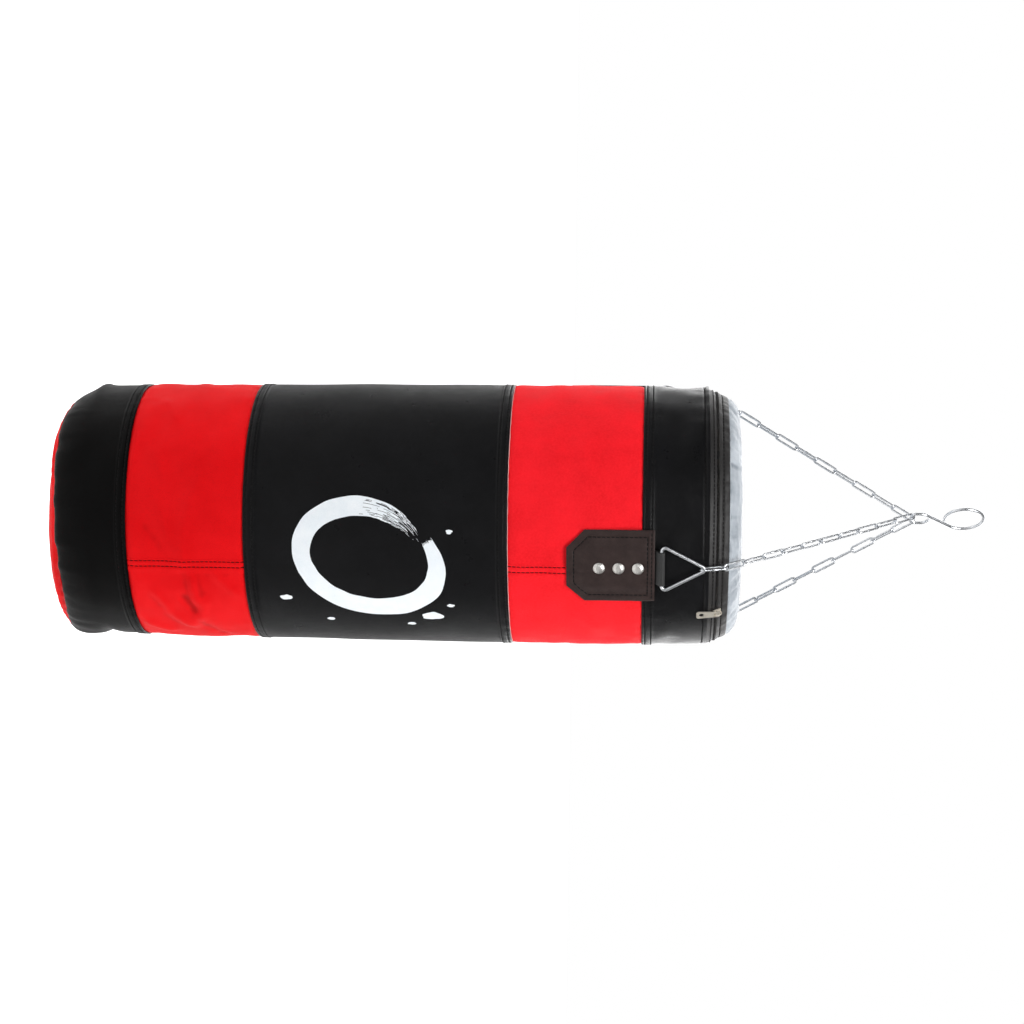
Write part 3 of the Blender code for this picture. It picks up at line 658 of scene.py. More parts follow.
def thread_material(name, low, high, rough):
    """Twisted and waxed thread: two tones in fine bands."""
    made, tree, shader, place = new_material(name, specular_ior_level=0.12)
    strands = add_node(tree, "ShaderNodeTexWave", scale=900.0, distortion=2.0)
    tree.links.new(place, strands.inputs["Vector"])
    colour = mixed(tree, low, high, strands.outputs["Fac"])
    tree.links.new(colour, shader.inputs["Base Color"])
    tree.links.new(scaled(tree, strands.outputs["Fac"], rough, rough + 0.12),
                   shader.inputs["Roughness"])
    join_bump(tree, shader, strands.outputs["Fac"], 0.6, 0.00010)
    return made


PALE_EDGE = thread_material("pale_cut_edge", tone(214, 150, 150), tone(236, 196, 194), 0.7)
round_cord("cut_edge_upper_seam", UPPER_SEAM + 0.0002, -0.0005, 0.00045, PALE_EDGE, 5.0)


# ==================================================================== top band
# The black coated leather band under the zip, a little uneven over the filling. Nothing on it
# stands up where the zip's pull hangs. Its lower edge is folded and sewn over the red strip.
PULL_MIDDLE = math.radians(73.5)
PULL_REACH = math.radians(50.0)
PULL_FADE = 0.2
DEEPEST_DENT = 0.0008
ZIP_ROW = 0.0052


def top_band_relief(turn, height, radius):
    above = height - TOP_SEAM
    below = ZIP_SEAM - height
    lift = folded_edge(turn, above, 51.0) + 0.0010 * np.exp(-below / 0.004)
    lift = lift + 0.0008 * ripple(turn, height, 0.014, 0.030, 52.0) * np.exp(-below / 0.020)
    lift = lift - 0.0012 * np.exp(-((below - ZIP_ROW) / 0.0014) ** 2)
    dents = 0.0026 * ripple(turn, height, 0.046, 0.030, 53.0) * ramp(above, 0.0, 0.02)
    lift = lift + np.maximum(dents, -DEEPEST_DENT)
    off = np.abs(turn_from(turn, PULL_MIDDLE))
    under_pull = 1.0 - ramp(off, PULL_REACH, PULL_REACH + PULL_FADE)
    under_pull = under_pull * ramp(-below, -0.05, -0.035)
    return lift - np.maximum(lift, 0.0) * under_pull


def top_band_profile():
    rows = [(wall_radius(z), z) for z in np.arange(ZIP_SEAM, ZIP_SEAM - 0.012, -FINE_STEP)]
    last = rows[-1][1] - FINE_STEP
    return rows + wall_profile(last, TOP_SEAM, False, True)


add_band("top_band_skin", top_band_profile(), top_band_relief, BLACK_LEATHER,
         "top_band")


# ==================================================================== seam stitching
# Lock stitches of bonded thread, black on the folds and dark red on the laps. Each stitch
# is drawn down at its ends, where the needle passed through the leather.
STITCH_PITCH = 0.0050
STITCH_LENGTH = 0.0042
THREAD_RADIUS = 0.00058
BLACK_THREAD = thread_material("black_thread", tone(10, 10, 10), tone(28, 27, 27), 0.6)
RED_THREAD = thread_material("dark_red_thread", tone(54, 2, 4), tone(84, 5, 8), 0.7)


def stitch_shape():
    """One stitch along X with Z outward: rings of five points, thin and sunk at both ends."""
    stations = ((-1.0, -1.0, 0.55), (-0.8, -0.1, 0.9), (0.0, 0.35, 1.0), (0.8, -0.1, 0.9),
                (1.0, -1.0, 0.55))
    points = []
    for along, up, thick in stations:
        for k in range(5):
            bend = 2 * math.pi * k / 5
            points.append((along * STITCH_LENGTH / 2, math.cos(bend) * thick * THREAD_RADIUS,
                           (up + math.sin(bend) * thick) * THREAD_RADIUS))
    faces = []
    for s in range(len(stations) - 1):
        for k in range(5):
            on = (k + 1) % 5
            faces.append((s * 5 + k, s * 5 + on, s * 5 + 5 + on, s * 5 + 5 + k))
    faces += [(4, 3, 2, 1, 0), (20, 21, 22, 23, 24)]
    return np.array(points), faces


def add_stitches(name, places, finish, body="bag"):
    """One stitch at each place, given as (centre, direction along the row, outward)."""
    shape, shape_faces = stitch_shape()
    vertices, faces = [], []
    for centre, along, out in places:
        along, out = np.array(along, float), np.array(out, float)
        along /= np.linalg.norm(along)
        across = np.cross(out, along)
        across /= np.linalg.norm(across)
        frame_of = np.stack([along, across, np.cross(along, across)])
        start = len(vertices)
        vertices.extend(shape @ frame_of + np.array(centre, float))
        faces.extend(tuple(start + k for k in face) for face in shape_faces)
    return add_piece(name, vertices, faces, finish, body=body)


def wall_point(turn, height, lift):
    radius = wall_radius(height) + lift
    return np.array((radius * math.sin(turn), -radius * math.cos(turn), height))


def ring_row(relief, height, phase):
    """Places of the stitches of one row round the bag."""
    count = round(2 * math.pi * wall_radius(height) / STITCH_PITCH)
    turns = (np.arange(count) + phase) * 2 * math.pi / count
    lifts = relief(turns, np.full(count, height), np.full(count, wall_radius(height)))
    return [(wall_point(t, height, l + 0.0001), (math.cos(t), math.sin(t), 0.0),
             (math.sin(t), -math.cos(t), 0.0)) for t, l in zip(turns, lifts)]


def lap_row(relief, high, low, off):
    """Places of the stitches of one upright row on a lap seam."""
    heights = np.arange(high, low, -STITCH_PITCH)
    turn = LAP_TURN + off / LAP_RADIUS
    lifts = relief(np.full(len(heights), turn), heights, heights * 0.0)
    out = (math.sin(turn), -math.cos(turn), 0.0)
    return [(wall_point(turn, z, l + 0.0001), (0.0, 0.0, 1.0), out)
            for z, l in zip(heights, lifts)]


def add_seam_stitches():
    rows = (
        ("stitches_base_band", base_band_relief, BAND_SEAM, -1),
        ("stitches_lower_seam", middle_relief, LOWER_SEAM, 1),
        ("stitches_upper_seam", middle_relief, UPPER_SEAM, -1),
        ("stitches_top_seam", top_band_relief, TOP_SEAM, 1),
    )
    for name, relief, seam, way in rows:
        places = []
        for k, gap in enumerate(STITCH_ROWS):
            places += ring_row(relief, seam + way * gap, 0.37 * k)
        add_stitches(name, places, BLACK_THREAD)
    zip_row = ring_row(top_band_relief, ZIP_SEAM - ZIP_ROW, 0.2)
    add_stitches("stitches_zip_seam", zip_row, BLACK_THREAD)
    laps = (
        ("stitches_lower_lap", lower_band_relief, LOWER_SEAM, BAND_SEAM),
        ("stitches_upper_lap", upper_band_relief, TOP_SEAM - 0.060, UPPER_SEAM),
    )
    for name, relief, high, low in laps:
        places = []
        for off in LAP_ROWS:
            places += lap_row(relief, high - 0.002, low + 0.001, off)
        add_stitches(name, places, RED_THREAD)


add_seam_stitches()


# ==================================================================== brushed emblem
# A ring swept all the way round in white ink with a wide brush that runs dry, and a few drops
# beside it. It is a thin coat on the middle panel, and the bristles leave gaps at its tail.
INK_LIFT = 0.00022
BAG_RADIUS = 0.1500
EMBLEM_TURN = math.radians(21.0)
EMBLEM_HEIGHT = -0.6980
EMBLEM_RADII = (0.062, 0.082)
BRUSH_START = math.radians(118)
BRUSH_SWEEP = math.radians(368)
HALF_BRUSH = 0.0150
BRISTLES = 44
INK_STEPS = 420


def ink_material():
    made, tree, shader, place = new_material("white_ink", specular_ior_level=0.3)
    patch = place_group(tree, MOTTLE, place, patches=60.0, contrast=1.8)
    grain = place_group(tree, LEATHER_GRAIN, place, pebbles=820.0)
    colour = mixed(tree, tone(232, 240, 246), tone(246, 250, 253), patch.outputs["Mask"])
    worn = scaled(tree, grain.outputs["Creases"], 0.0, 0.15)
    tree.links.new(mixed(tree, colour, tone(186, 194, 200), worn), shader.inputs["Base Color"])
    tree.links.new(scaled(tree, patch.outputs["Mask"], 0.5, 0.62), shader.inputs["Roughness"])
    join_bump(tree, shader, grain.outputs["Height"], 0.35, 0.00010)
    return made


WHITE_INK = ink_material()


def ink_points(round_bag, up):
    """Points on the middle panel from distances round the bag and up it, from the emblem."""
    turn = EMBLEM_TURN + np.asarray(round_bag) / BAG_RADIUS
    height = EMBLEM_HEIGHT + np.asarray(up)
    lift = middle_relief(turn, height, wall_radius(height)) + INK_LIFT
    radius = wall_radius(height) + lift
    return np.stack([radius * np.sin(turn), -radius * np.cos(turn), height], axis=-1)


def swept_ring(share):
    """The brush's path round the ring, as (round the bag, up) and its half width."""
    bend = BRUSH_START - share * BRUSH_SWEEP
    drift = 1.0 + 0.10 * np.sin(bend * 2 + 0.6) - 0.10 * share
    across = EMBLEM_RADII[0] * drift * np.cos(bend)
    up = EMBLEM_RADII[1] * drift * np.sin(bend)
    press = HALF_BRUSH * np.sin(math.pi * np.clip(share * 0.86 + 0.10, 0, 1)) ** 0.7
    return across, up, press * (0.86 + 0.18 * np.sin(share * 9.0))


def add_brush_ring():
    share = np.linspace(0.0, 1.0, INK_STEPS)
    across, up, half = swept_ring(share)
    ahead = np.gradient(np.stack([across, up], axis=1), axis=0)
    ahead /= np.linalg.norm(ahead, axis=1)[:, None]
    bristle = np.linspace(-1.0, 1.0, BRISTLES + 1)
    wobble = np.array([[noise.noise((s * 26, b * 1.5, 2.0)) for b in (-1, 1)] for s in share])
    edge = np.where(bristle[None, :] < 0, wobble[:, :1], wobble[:, 1:]) * 0.10
    wide = half[:, None] * (bristle[None, :] + edge * np.abs(bristle[None, :]))
    u = across[:, None] - ahead[:, 1][:, None] * wide
    v = up[:, None] + ahead[:, 0][:, None] * wide
    vertices = ink_points(u, v).reshape(-1, 3)
    faces, count = [], BRISTLES + 1
    for i in range(INK_STEPS - 1):
        for k in range(BRISTLES):
            streak = noise.noise((share[i] * 9.0, k * 0.83, 8.0))
            fleck = noise.noise((share[i] * 60.0, k * 0.61, 9.0))
            ends = noise.noise((k * 0.45, 4.0, 1.0))
            dry = 0.75 * share[i] ** 2.6 + 0.25 * streak + 0.12 * fleck
            start = 0.012 + 0.012 * ends
            if share[i] > start and dry < 0.56 and share[i] < 0.985 + 0.03 * ends:
                a = i * count + k
                faces.append((a, a + 1, a + count + 1, a + count))
    return vertices, faces


def add_drop(vertices, faces, at, size, seed):
    """One splashed drop with an uneven edge."""
    count = 40
    bends = np.linspace(0.0, 2 * math.pi, count, endpoint=False)
    rim = [1.0 + 0.35 * noise.noise((math.cos(b) * 1.4, math.sin(b) * 1.4, seed)) for b in bends]
    u = at[0] + size * np.array(rim) * np.cos(bends) * 0.8
    v = at[1] + size * np.array(rim) * np.sin(bends) * 1.25
    middle = ink_points([at[0]], [at[1]])
    start = len(vertices)
    vertices = np.vstack([vertices, middle, ink_points(u, v)])
    for k in range(count):
        faces.append((start, start + 1 + k, start + 1 + (k + 1) % count))
    return vertices, faces


def add_emblem():
    vertices, faces = add_brush_ring()
    drops = ((0.079, 0.070, 0.0088), (0.094, 0.046, 0.0036), (0.052, -0.094, 0.0050),
             (-0.034, 0.092, 0.0030), (0.088, -0.046, 0.0034), (0.060, 0.092, 0.0030))
    for k, (across, up, size) in enumerate(drops):
        vertices, faces = add_drop(vertices, faces, (across, up), size, 3.0 * k)
    add_piece("brushed_emblem", vertices, faces, WHITE_INK)


add_emblem()


# ==================================================================== tabs
# Three thick dark brown leather tabs hold the straps. Each is cut with two corners off, has
# a stitched border, and bulges over the strap that it is riveted through.
STRAPS = (("front", math.radians(22.4)), ("right", math.radians(124.0)),
          ("left", math.radians(246.0)))
TAB_TOP = -0.3775
TAB_BOTTOM = -0.4755
TAB_WIDTH = 0.0850
TAB_CORNER = 0.0200
TAB_FACE = 0.0058
TAB_REST = 0.0036
TAB_THICKNESS = 0.0022
TAB_BORDER = 0.0078
TAB_COLUMNS = 90
BROWN_LEATHER = coated_leather(
    "brown_leather", tone(42, 32, 31), tone(58, 46, 44), 0.50, 620.0, 0.00016, 70.0, 2.0,
    specular_ior_level=0.16,
)


def tab_half_width(height):
    """Half the tab's width, less where the lower corners are cut off."""
    return TAB_WIDTH / 2 - np.maximum(0.0, TAB_BOTTOM + TAB_CORNER - height)


def tab_border(across, height):
    """The distance in from the tab's edge."""
    side_gap = TAB_WIDTH / 2 - np.abs(across)
    corner = (TAB_WIDTH / 2 - TAB_CORNER - np.abs(across) + height - TAB_BOTTOM) / math.sqrt(2)
    ends = np.minimum(TAB_TOP - height, height - TAB_BOTTOM)
    return np.minimum(np.minimum(side_gap, corner), ends)


def tab_face(across, height, seed):
    """How far the tab's face stands out from the wall."""
    edge = tab_border(across, height)
    over_strap = 1.0 - ramp(np.abs(across), 0.0205, 0.0330)
    over_strap = over_strap * ramp(height, TAB_BOTTOM + 0.004, TAB_BOTTOM + 0.022)
    lift = TAB_REST + (TAB_FACE - TAB_REST) * over_strap
    lift = lift + 0.0006 * (1.0 - ramp(edge, TAB_BORDER - 0.0012, TAB_BORDER))
    rows = np.exp(-((edge - TAB_BORDER - 0.0004) / 0.0007) ** 2)
    top = TAB_TOP - height
    rows = rows + np.exp(-((top - 0.0035) / 0.0007) ** 2)
    crease = np.exp(-((across - 0.005) / 0.0016) ** 2) * ramp(-height, 0.4200, 0.4440)
    wave = ripple(across / 0.15, height, 0.020, 0.020, seed)
    lift = lift - 0.0005 * rows - 0.0006 * crease + 0.0004 * wave
    return lift - 0.0007 * np.exp(-edge / 0.0009)


def strap_point(angle, across, height, lift):
    """A point on the wall beside a strap's middle line."""
    turn = angle + across / BAG_RADIUS
    radius = wall_radius(height) + lift
    return np.stack([radius * np.sin(turn), -radius * np.cos(turn), height + 0 * turn], axis=-1)


def add_tab(name, angle, seed):
    heights = np.linspace(TAB_TOP, TAB_BOTTOM, 110)
    share = np.linspace(-1.0, 1.0, TAB_COLUMNS)
    across = share[None, :] * tab_half_width(heights)[:, None]
    tall = np.broadcast_to(heights[:, None], across.shape)
    vertices = strap_point(angle, across, tall, tab_face(across, tall, seed)).reshape(-1, 3)
    faces = []
    for j in range(len(heights) - 1):
        for i in range(TAB_COLUMNS - 1):
            a = j * TAB_COLUMNS + i
            faces.append((a, a + TAB_COLUMNS, a + TAB_COLUMNS + 1, a + 1))
    tab = add_piece(f"leather_tab_{name}", vertices, faces, BROWN_LEATHER,
                    stands_for=[f"tab_{name}"])
    give_thickness(tab, TAB_THICKNESS)
    rounded = tab.modifiers.new("rounded_rim", "BEVEL")
    rounded.width = 0.0006
    rounded.segments = 3
    rounded.angle_limit = math.radians(50)
    tab.modifiers.new("even_shading", "WEIGHTED_NORMAL")
    add_tab_stitches(name, angle, seed)


def border_line(inset):
    """The corners of a line that runs inside the tab's edge at one distance."""
    wide, low = TAB_WIDTH / 2 - inset, TAB_BOTTOM + inset
    cut = inset * (math.sqrt(2) - 1)
    corner = TAB_BOTTOM + TAB_CORNER + cut
    slant = TAB_WIDTH / 2 - TAB_CORNER - cut
    top = TAB_TOP - inset
    return [(-wide, top), (-wide, corner), (-slant, low), (slant, low), (wide, corner),
            (wide, top), (-wide, top)]


def add_tab_stitches(name, angle, seed):
    lines = [border_line(TAB_BORDER + 0.0004)]
    edge = TAB_WIDTH / 2 - 0.003
    lines.append([(-edge, TAB_TOP - 0.0035), (edge, TAB_TOP - 0.0035)])
    places = []
    for line in lines:
        for (x0, z0), (x1, z1) in zip(line, line[1:]):
            length = math.hypot(x1 - x0, z1 - z0)
            count = max(1, round(length / STITCH_PITCH))
            for k in range(count):
                share = (k + 0.5) / count
                x, z = x0 + (x1 - x0) * share, z0 + (z1 - z0) * share
                lift = float(tab_face(np.array([x]), np.array([z]), seed)[0]) + 0.0002
                turn = angle + x / BAG_RADIUS
                side_way = np.array((math.cos(turn), math.sin(turn), 0.0))
                along = side_way * (x1 - x0) + np.array((0, 0, z1 - z0))
                out = (math.sin(turn), -math.cos(turn), 0.0)
                places.append((strap_point(angle, x, z, lift), along, out))
    add_stitches(f"stitches_tab_{name}", places, BLACK_THREAD)


for number, (strap_name, strap_angle) in enumerate(STRAPS):
    add_tab(strap_name, strap_angle, 61.0 + number)


# ==================================================================== strap loops
# A black woven nylon strap runs up under each tab, round the bar of its triangle ring and
# back down. Both legs lie flat on the bag and the rivets go through them.
WEBBING_WIDTH = 0.0400
WEBBING_THICKNESS = 0.0012
WEBBING_BOTTOM = -0.4600
WEBBING_WRAP = math.radians(228.0)
BEND_START = -0.3730
RING_WIRE = 0.0019
RING_STAND_OFF = 0.0058
RING_BAR = -0.3700
MESH_GAP = 0.0003


def weave_group():
    """A plain weave of round threads on the bag's wall, by the way round it and up it."""
    group, start, end = new_group(
        "plain_weave",
        [("Place", "NodeSocketVector", None), ("Threads", "NodeSocketFloat", 900.0)],
        [("Height", "NodeSocketFloat"), ("Over", "NodeSocketFloat")],
    )
    parts = add_node(group, "ShaderNodeSeparateXYZ")
    group.links.new(start.outputs["Place"], parts.inputs[0])
    angle = add_node(group, "ShaderNodeMath", operation="ARCTAN2")
    group.links.new(parts.outputs["X"], angle.inputs[0])
    group.links.new(parts.outputs["Y"], angle.inputs[1])
    waves = []
    for source, size in ((angle.outputs[0], 0.15), (parts.outputs["Z"], 1.0)):
        step = add_node(group, "ShaderNodeMath", operation="MULTIPLY")
        group.links.new(source, step.inputs[0])
        length = add_node(group, "ShaderNodeMath", operation="MULTIPLY")
        length.inputs[1].default_value = size * math.pi
        group.links.new(start.outputs["Threads"], length.inputs[0])
        group.links.new(length.outputs[0], step.inputs[1])
        wave = add_node(group, "ShaderNodeMath", operation="SINE")
        group.links.new(step.outputs[0], wave.inputs[0])
        waves.append(wave.outputs[0])
    cross = add_node(group, "ShaderNodeMath", operation="MULTIPLY")
    group.links.new(waves[0], cross.inputs[0])
    group.links.new(waves[1], cross.inputs[1])
    over = add_node(group, "ShaderNodeMath", operation="MULTIPLY_ADD", use_clamp=True)
    over.inputs[1].default_value = 0.5
    over.inputs[2].default_value = 0.5
    group.links.new(cross.outputs[0], over.inputs[0])
    group.links.new(over.outputs[0], end.inputs["Over"])
    hair = add_node(group, "ShaderNodeTexNoise", scale=2500.0)
    group.links.new(start.outputs["Place"], hair.inputs["Vector"])
    total = add_node(group, "ShaderNodeMath", operation="MULTIPLY_ADD")
    total.inputs[1].default_value = 0.3
    group.links.new(hair.outputs["Fac"], total.inputs[0])
    group.links.new(over.outputs[0], total.inputs[2])
    group.links.new(total.outputs[0], end.inputs["Height"])
    return group


PLAIN_WEAVE = weave_group()


def woven_cloth(name, low, high, threads, rough, depth, **settings):
    made, tree, shader, place = new_material(name, **settings)
    weave = place_group(tree, PLAIN_WEAVE, place, threads=threads)
    dust = place_group(tree, MOTTLE, place, patches=45.0, contrast=1.6)
    base = mixed(tree, low, high, weave.outputs["Over"])
    pale = tuple(min(1.0, c * 1.5 + 0.004) for c in high[:3]) + (1.0,)
    dusty = scaled(tree, dust.outputs["Mask"], 0.0, 0.35)
    cloth = mixed(tree, base, pale, dusty)
    # Painted shade: a darker copy of the low tone, laid into the mesh's hollows.
    shade_tone = tuple(c * 0.35 for c in low[:3]) + (1.0,)
    sunk = painted_shade_share(tree, 0.8)
    tree.links.new(mixed(tree, cloth, shade_tone, sunk), shader.inputs["Base Color"])
    tree.links.new(scaled(tree, dust.outputs["Mask"], rough, rough + 0.1),
                   shader.inputs["Roughness"])
    join_bump(tree, shader, weave.outputs["Height"], 0.6, depth)
    return made


BLACK_WEBBING = woven_cloth("black_webbing", tone(16, 16, 16), tone(34, 34, 34), 700.0,
                            0.55, 0.00022, sheen_weight=0.1)


def strap_route():
    """The strap's middle line as (out from the wall, height): up, round the bar and down."""
    inner = MESH_GAP + WEBBING_THICKNESS / 2
    outer = inner + WEBBING_THICKNESS + MESH_GAP
    round_bar = RING_WIRE + 2 * MESH_GAP + WEBBING_THICKNESS / 2
    heights = np.linspace(WEBBING_BOTTOM, TAB_TOP + 0.0010, 24)
    route = [(inner, z) for z in heights]
    for i in range(25):
        bend = WEBBING_WRAP * i / 24
        route.append((RING_STAND_OFF - round_bar * math.cos(bend),
                      RING_BAR + round_bar * math.sin(bend)))
    return route + [(outer, z) for z in heights[::-1]]


def wall_ways(angle):
    """Straight out from the wall, and level along it, at one angle round the bag."""
    out = np.array((math.sin(angle), -math.cos(angle), 0.0))
    along = np.array((math.cos(angle), math.sin(angle), 0.0))
    return out, along


def add_webbing(name, angle):
    route = strap_route()
    across = np.linspace(-WEBBING_WIDTH / 2, WEBBING_WIDTH / 2, 17)
    middle, along = wall_ways(angle)
    vertices = []
    for x in across:
        for out, z in route:
            hugs = min(1.0, max(0.0, (BEND_START - z) / (BEND_START - TAB_TOP)))
            sag = (0.1503 - math.sqrt(0.1503 ** 2 - x * x)) * hugs
            vertices.append(along * x + middle * (wall_radius(z) + out - sag)
                            + np.array((0, 0, z)))
    count, faces = len(route), []
    for i in range(len(across) - 1):
        for k in range(count - 1):
            a = i * count + k
            faces.append((a, a + 1, a + count + 1, a + count))
    strap = add_piece(f"woven_strap_{name}", vertices, faces, BLACK_WEBBING,
                      stands_for=[f"strap_loop_{name}"])
    cloth = strap.modifiers.new("thickness", "SOLIDIFY")
    cloth.thickness = WEBBING_THICKNESS
    cloth.offset = 0.0
    soft = strap.modifiers.new("soft_edge", "BEVEL")
    soft.width = 0.0004
    soft.segments = 2
    soft.angle_limit = math.radians(60)


for strap_name, strap_angle in STRAPS:
    add_webbing(strap_name, strap_angle)


# ==================================================================== rivets
# Three nickel-plated rivets go through each tab and strap, into a backing strip inside the
# skin. Their domed heads are pressed, with a thin flat rim, and lightly scratched.
RIVET_HEIGHTS = (-0.3960, -0.4176, -0.4392)
RIVET_RADIUS = 0.0066
RIVET_DOME = 0.0028


def metal_wear_group():
    """Fine scratches over soft clouds, for plated metal that has been handled."""
    group, start, end = new_group(
        "metal_wear",
        [("Place", "NodeSocketVector", None), ("Scratches", "NodeSocketFloat", 900.0)],
        [("Scratch", "NodeSocketFloat"), ("Cloud", "NodeSocketFloat")],
    )
    stretch = add_node(group, "ShaderNodeMapping")
    stretch.inputs["Rotation"].default_value = (0.4, 0.7, 0.2)
    stretch.inputs["Scale"].default_value = (1.0, 0.08, 0.5)
    group.links.new(start.outputs["Place"], stretch.inputs["Vector"])
    lines = add_node(group, "ShaderNodeTexNoise", detail=4.0, roughness=0.7)
    group.links.new(stretch.outputs["Vector"], lines.inputs["Vector"])
    group.links.new(start.outputs["Scratches"], lines.inputs["Scale"])
    thin = add_node(group, "ShaderNodeMapRange")
    thin.inputs["From Min"].default_value = 0.55
    thin.inputs["From Max"].default_value = 0.72
    group.links.new(lines.outputs["Fac"], thin.inputs["Value"])
    group.links.new(thin.outputs["Result"], end.inputs["Scratch"])
    cloud = add_node(group, "ShaderNodeTexNoise", scale=160.0, detail=3.0)
    group.links.new(start.outputs["Place"], cloud.inputs["Vector"])
    group.links.new(cloud.outputs["Fac"], end.inputs["Cloud"])
    return group


METAL_WEAR = metal_wear_group()


def plated_metal(name, low, high, rough, scratches):
    made, tree, shader, place = new_material(name, metallic=1.0)
    wear = place_group(tree, METAL_WEAR, place, scratches=scratches)
    base = mixed(tree, low, high, wear.outputs["Cloud"])
    dull = tuple(c * 0.72 for c in low[:3]) + (1.0,)
    marks = scaled(tree, wear.outputs["Scratch"], 0.0, 0.4)
    tree.links.new(mixed(tree, base, dull, marks), shader.inputs["Base Color"])
    tree.links.new(scaled(tree, wear.outputs["Cloud"], rough - 0.05, rough + 0.10),
                   shader.inputs["Roughness"])
    join_bump(tree, shader, wear.outputs["Scratch"], 0.2, 0.00004)
    return made


NICKEL = plated_metal("nickel_plate", tone(206, 203, 198), tone(238, 236, 232), 0.44, 700.0)


def rivet_profile():
    """Half the head's section, from its crown out to the rim and under it."""
    points = [(0.0, RIVET_DOME)]
    for k in range(1, 15):
        share = k / 14
        points.append((0.0052 * share, RIVET_DOME - 0.0018 * share ** 2.2))
    points += [(0.0055, 0.0009), (0.0062, 0.0008), (RIVET_RADIUS, 0.0005),
               (RIVET_RADIUS, 0.0001), (0.0062, -0.0004)]
    return points


def add_rivet_heads(name, angle):
    out, along = wall_ways(angle)
    rise = np.array((0.0, 0.0, 1.0))
    vertices, faces, sides = [], [], 48
    for height in RIVET_HEIGHTS:
        foot = out * (wall_radius(height) + TAB_FACE - 0.0001) + rise * height
        start = len(vertices)
        vertices.append(foot + out * RIVET_DOME)
        rings = rivet_profile()[1:]
        for radius, up in rings:
            for k in range(sides):
                bend = 2 * math.pi * k / sides
                vertices.append(foot + out * up + along * radius * math.cos(bend)
                                + rise * radius * math.sin(bend))
        for k in range(sides):
            on = (k + 1) % sides
            faces.append((start, start + 1 + k, start + 1 + on))
            for r in range(len(rings) - 1):
                a, b = start + 1 + r * sides, start + 1 + (r + 1) * sides
                faces.append((a + k, b + k, b + on, a + on))
    add_piece(f"rivet_heads_{name}", vertices, faces, NICKEL)
    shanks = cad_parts[f"rivets_{name}"]
    shanks.data.materials.clear()
    shanks.data.materials.append(NICKEL)


for strap_name, strap_angle in STRAPS:
    add_rivet_heads(strap_name, strap_angle)


# ==================================================================== triangle rings
# Round zinc-plated wire bent to a triangle. The strap holds its bar and the chain its point;
# the bar's ends meet under the strap in a small weld.
RING_APEX = -0.3235
RING_BASE = 0.0457
RING_REACH = 0.0050
RING_BAR_ROUND = 0.0042
RING_APEX_ROUND = 0.0036
ZINC = plated_metal("zinc_plate", tone(206, 209, 213), tone(236, 238, 241), 0.27, 520.0)


def wire_mesh(points, thick, sides, closed):
    """A round wire along points, its ends rounded off; thick may change from point to point."""
    points = np.array(points, float)
    thick = np.broadcast_to(np.asarray(thick, float), (len(points),)).copy()
    if closed:
        ahead = np.roll(points, -1, axis=0) - np.roll(points, 1, axis=0)
    else:
        ahead = np.gradient(points, axis=0)
    ahead /= np.linalg.norm(ahead, axis=1)[:, None]
    if not closed:
        caps = [math.radians(a) for a in (75, 50, 25)]
        lead = [(points[0] - ahead[0] * thick[0] * math.sin(a), thick[0] * math.cos(a))
                for a in caps]
        tail = [(points[-1] + ahead[-1] * thick[-1] * math.sin(a), thick[-1] * math.cos(a))
                for a in caps[::-1]]
        points = np.array([p for p, _ in lead] + list(points) + [p for p, _ in tail])
        thick = np.array([t for _, t in lead] + list(thick) + [t for _, t in tail])
        ahead = np.vstack([[ahead[0]] * 3, ahead, [ahead[-1]] * 3])
    guide = np.array((0.0, 0.0, 1.0)) if abs(ahead[0][2]) < 0.9 else np.array((1.0, 0.0, 0.0))
    across = np.cross(ahead[0], guide)
    rows = []
    for point, way, radius in zip(points, ahead, thick):
        across = across - way * across.dot(way)
        across /= np.linalg.norm(across)
        third = np.cross(way, across)
        rows.append([point + radius * (across * math.cos(b) + third * math.sin(b))
                     for b in np.linspace(0, 2 * math.pi, sides, endpoint=False)])
    shift = 0
    if closed:
        first = np.array(rows[0])
        shift = min(range(sides), key=lambda s: np.abs(
            np.roll(np.array(rows[-1]), -s, axis=0) - first).sum())
    vertices = np.array(rows).reshape(-1, 3)
    faces, last = [], len(rows)
    for i in range(last if closed else last - 1):
        turned_by = shift if i == last - 1 else 0
        for k in range(sides):
            on = (k + 1) % sides
            a, b = i * sides, (i + 1) % last * sides
            here, there = (k + turned_by) % sides, (on + turned_by) % sides
            faces.append((a + here, a + there, b + on, b + k))
    if not closed:
        faces += [tuple(range(sides))[::-1], tuple(range((last - 1) * sides, last * sides))]
    return vertices, faces


def round_corners(corners, radii, steps):
    """A closed outline of straight sides with its corners rounded, finely divided."""
    outline = []
    for i, radius in enumerate(radii):
        corner = Vector(corners[i])
        back = (Vector(corners[i - 1]) - corner).normalized()
        on = (Vector(corners[(i + 1) % len(corners)]) - corner).normalized()
        half = back.angle(on) / 2
        centre = corner + (back + on).normalized() * radius / math.sin(half)
        first = corner + back * radius / math.tan(half) - centre
        last = corner + on * radius / math.tan(half) - centre
        sweep = first.angle_signed(last)
        for k in range(steps + 1):
            outline.append(centre + Matrix.Rotation(-sweep * k / steps, 2) @ first)
    return outline


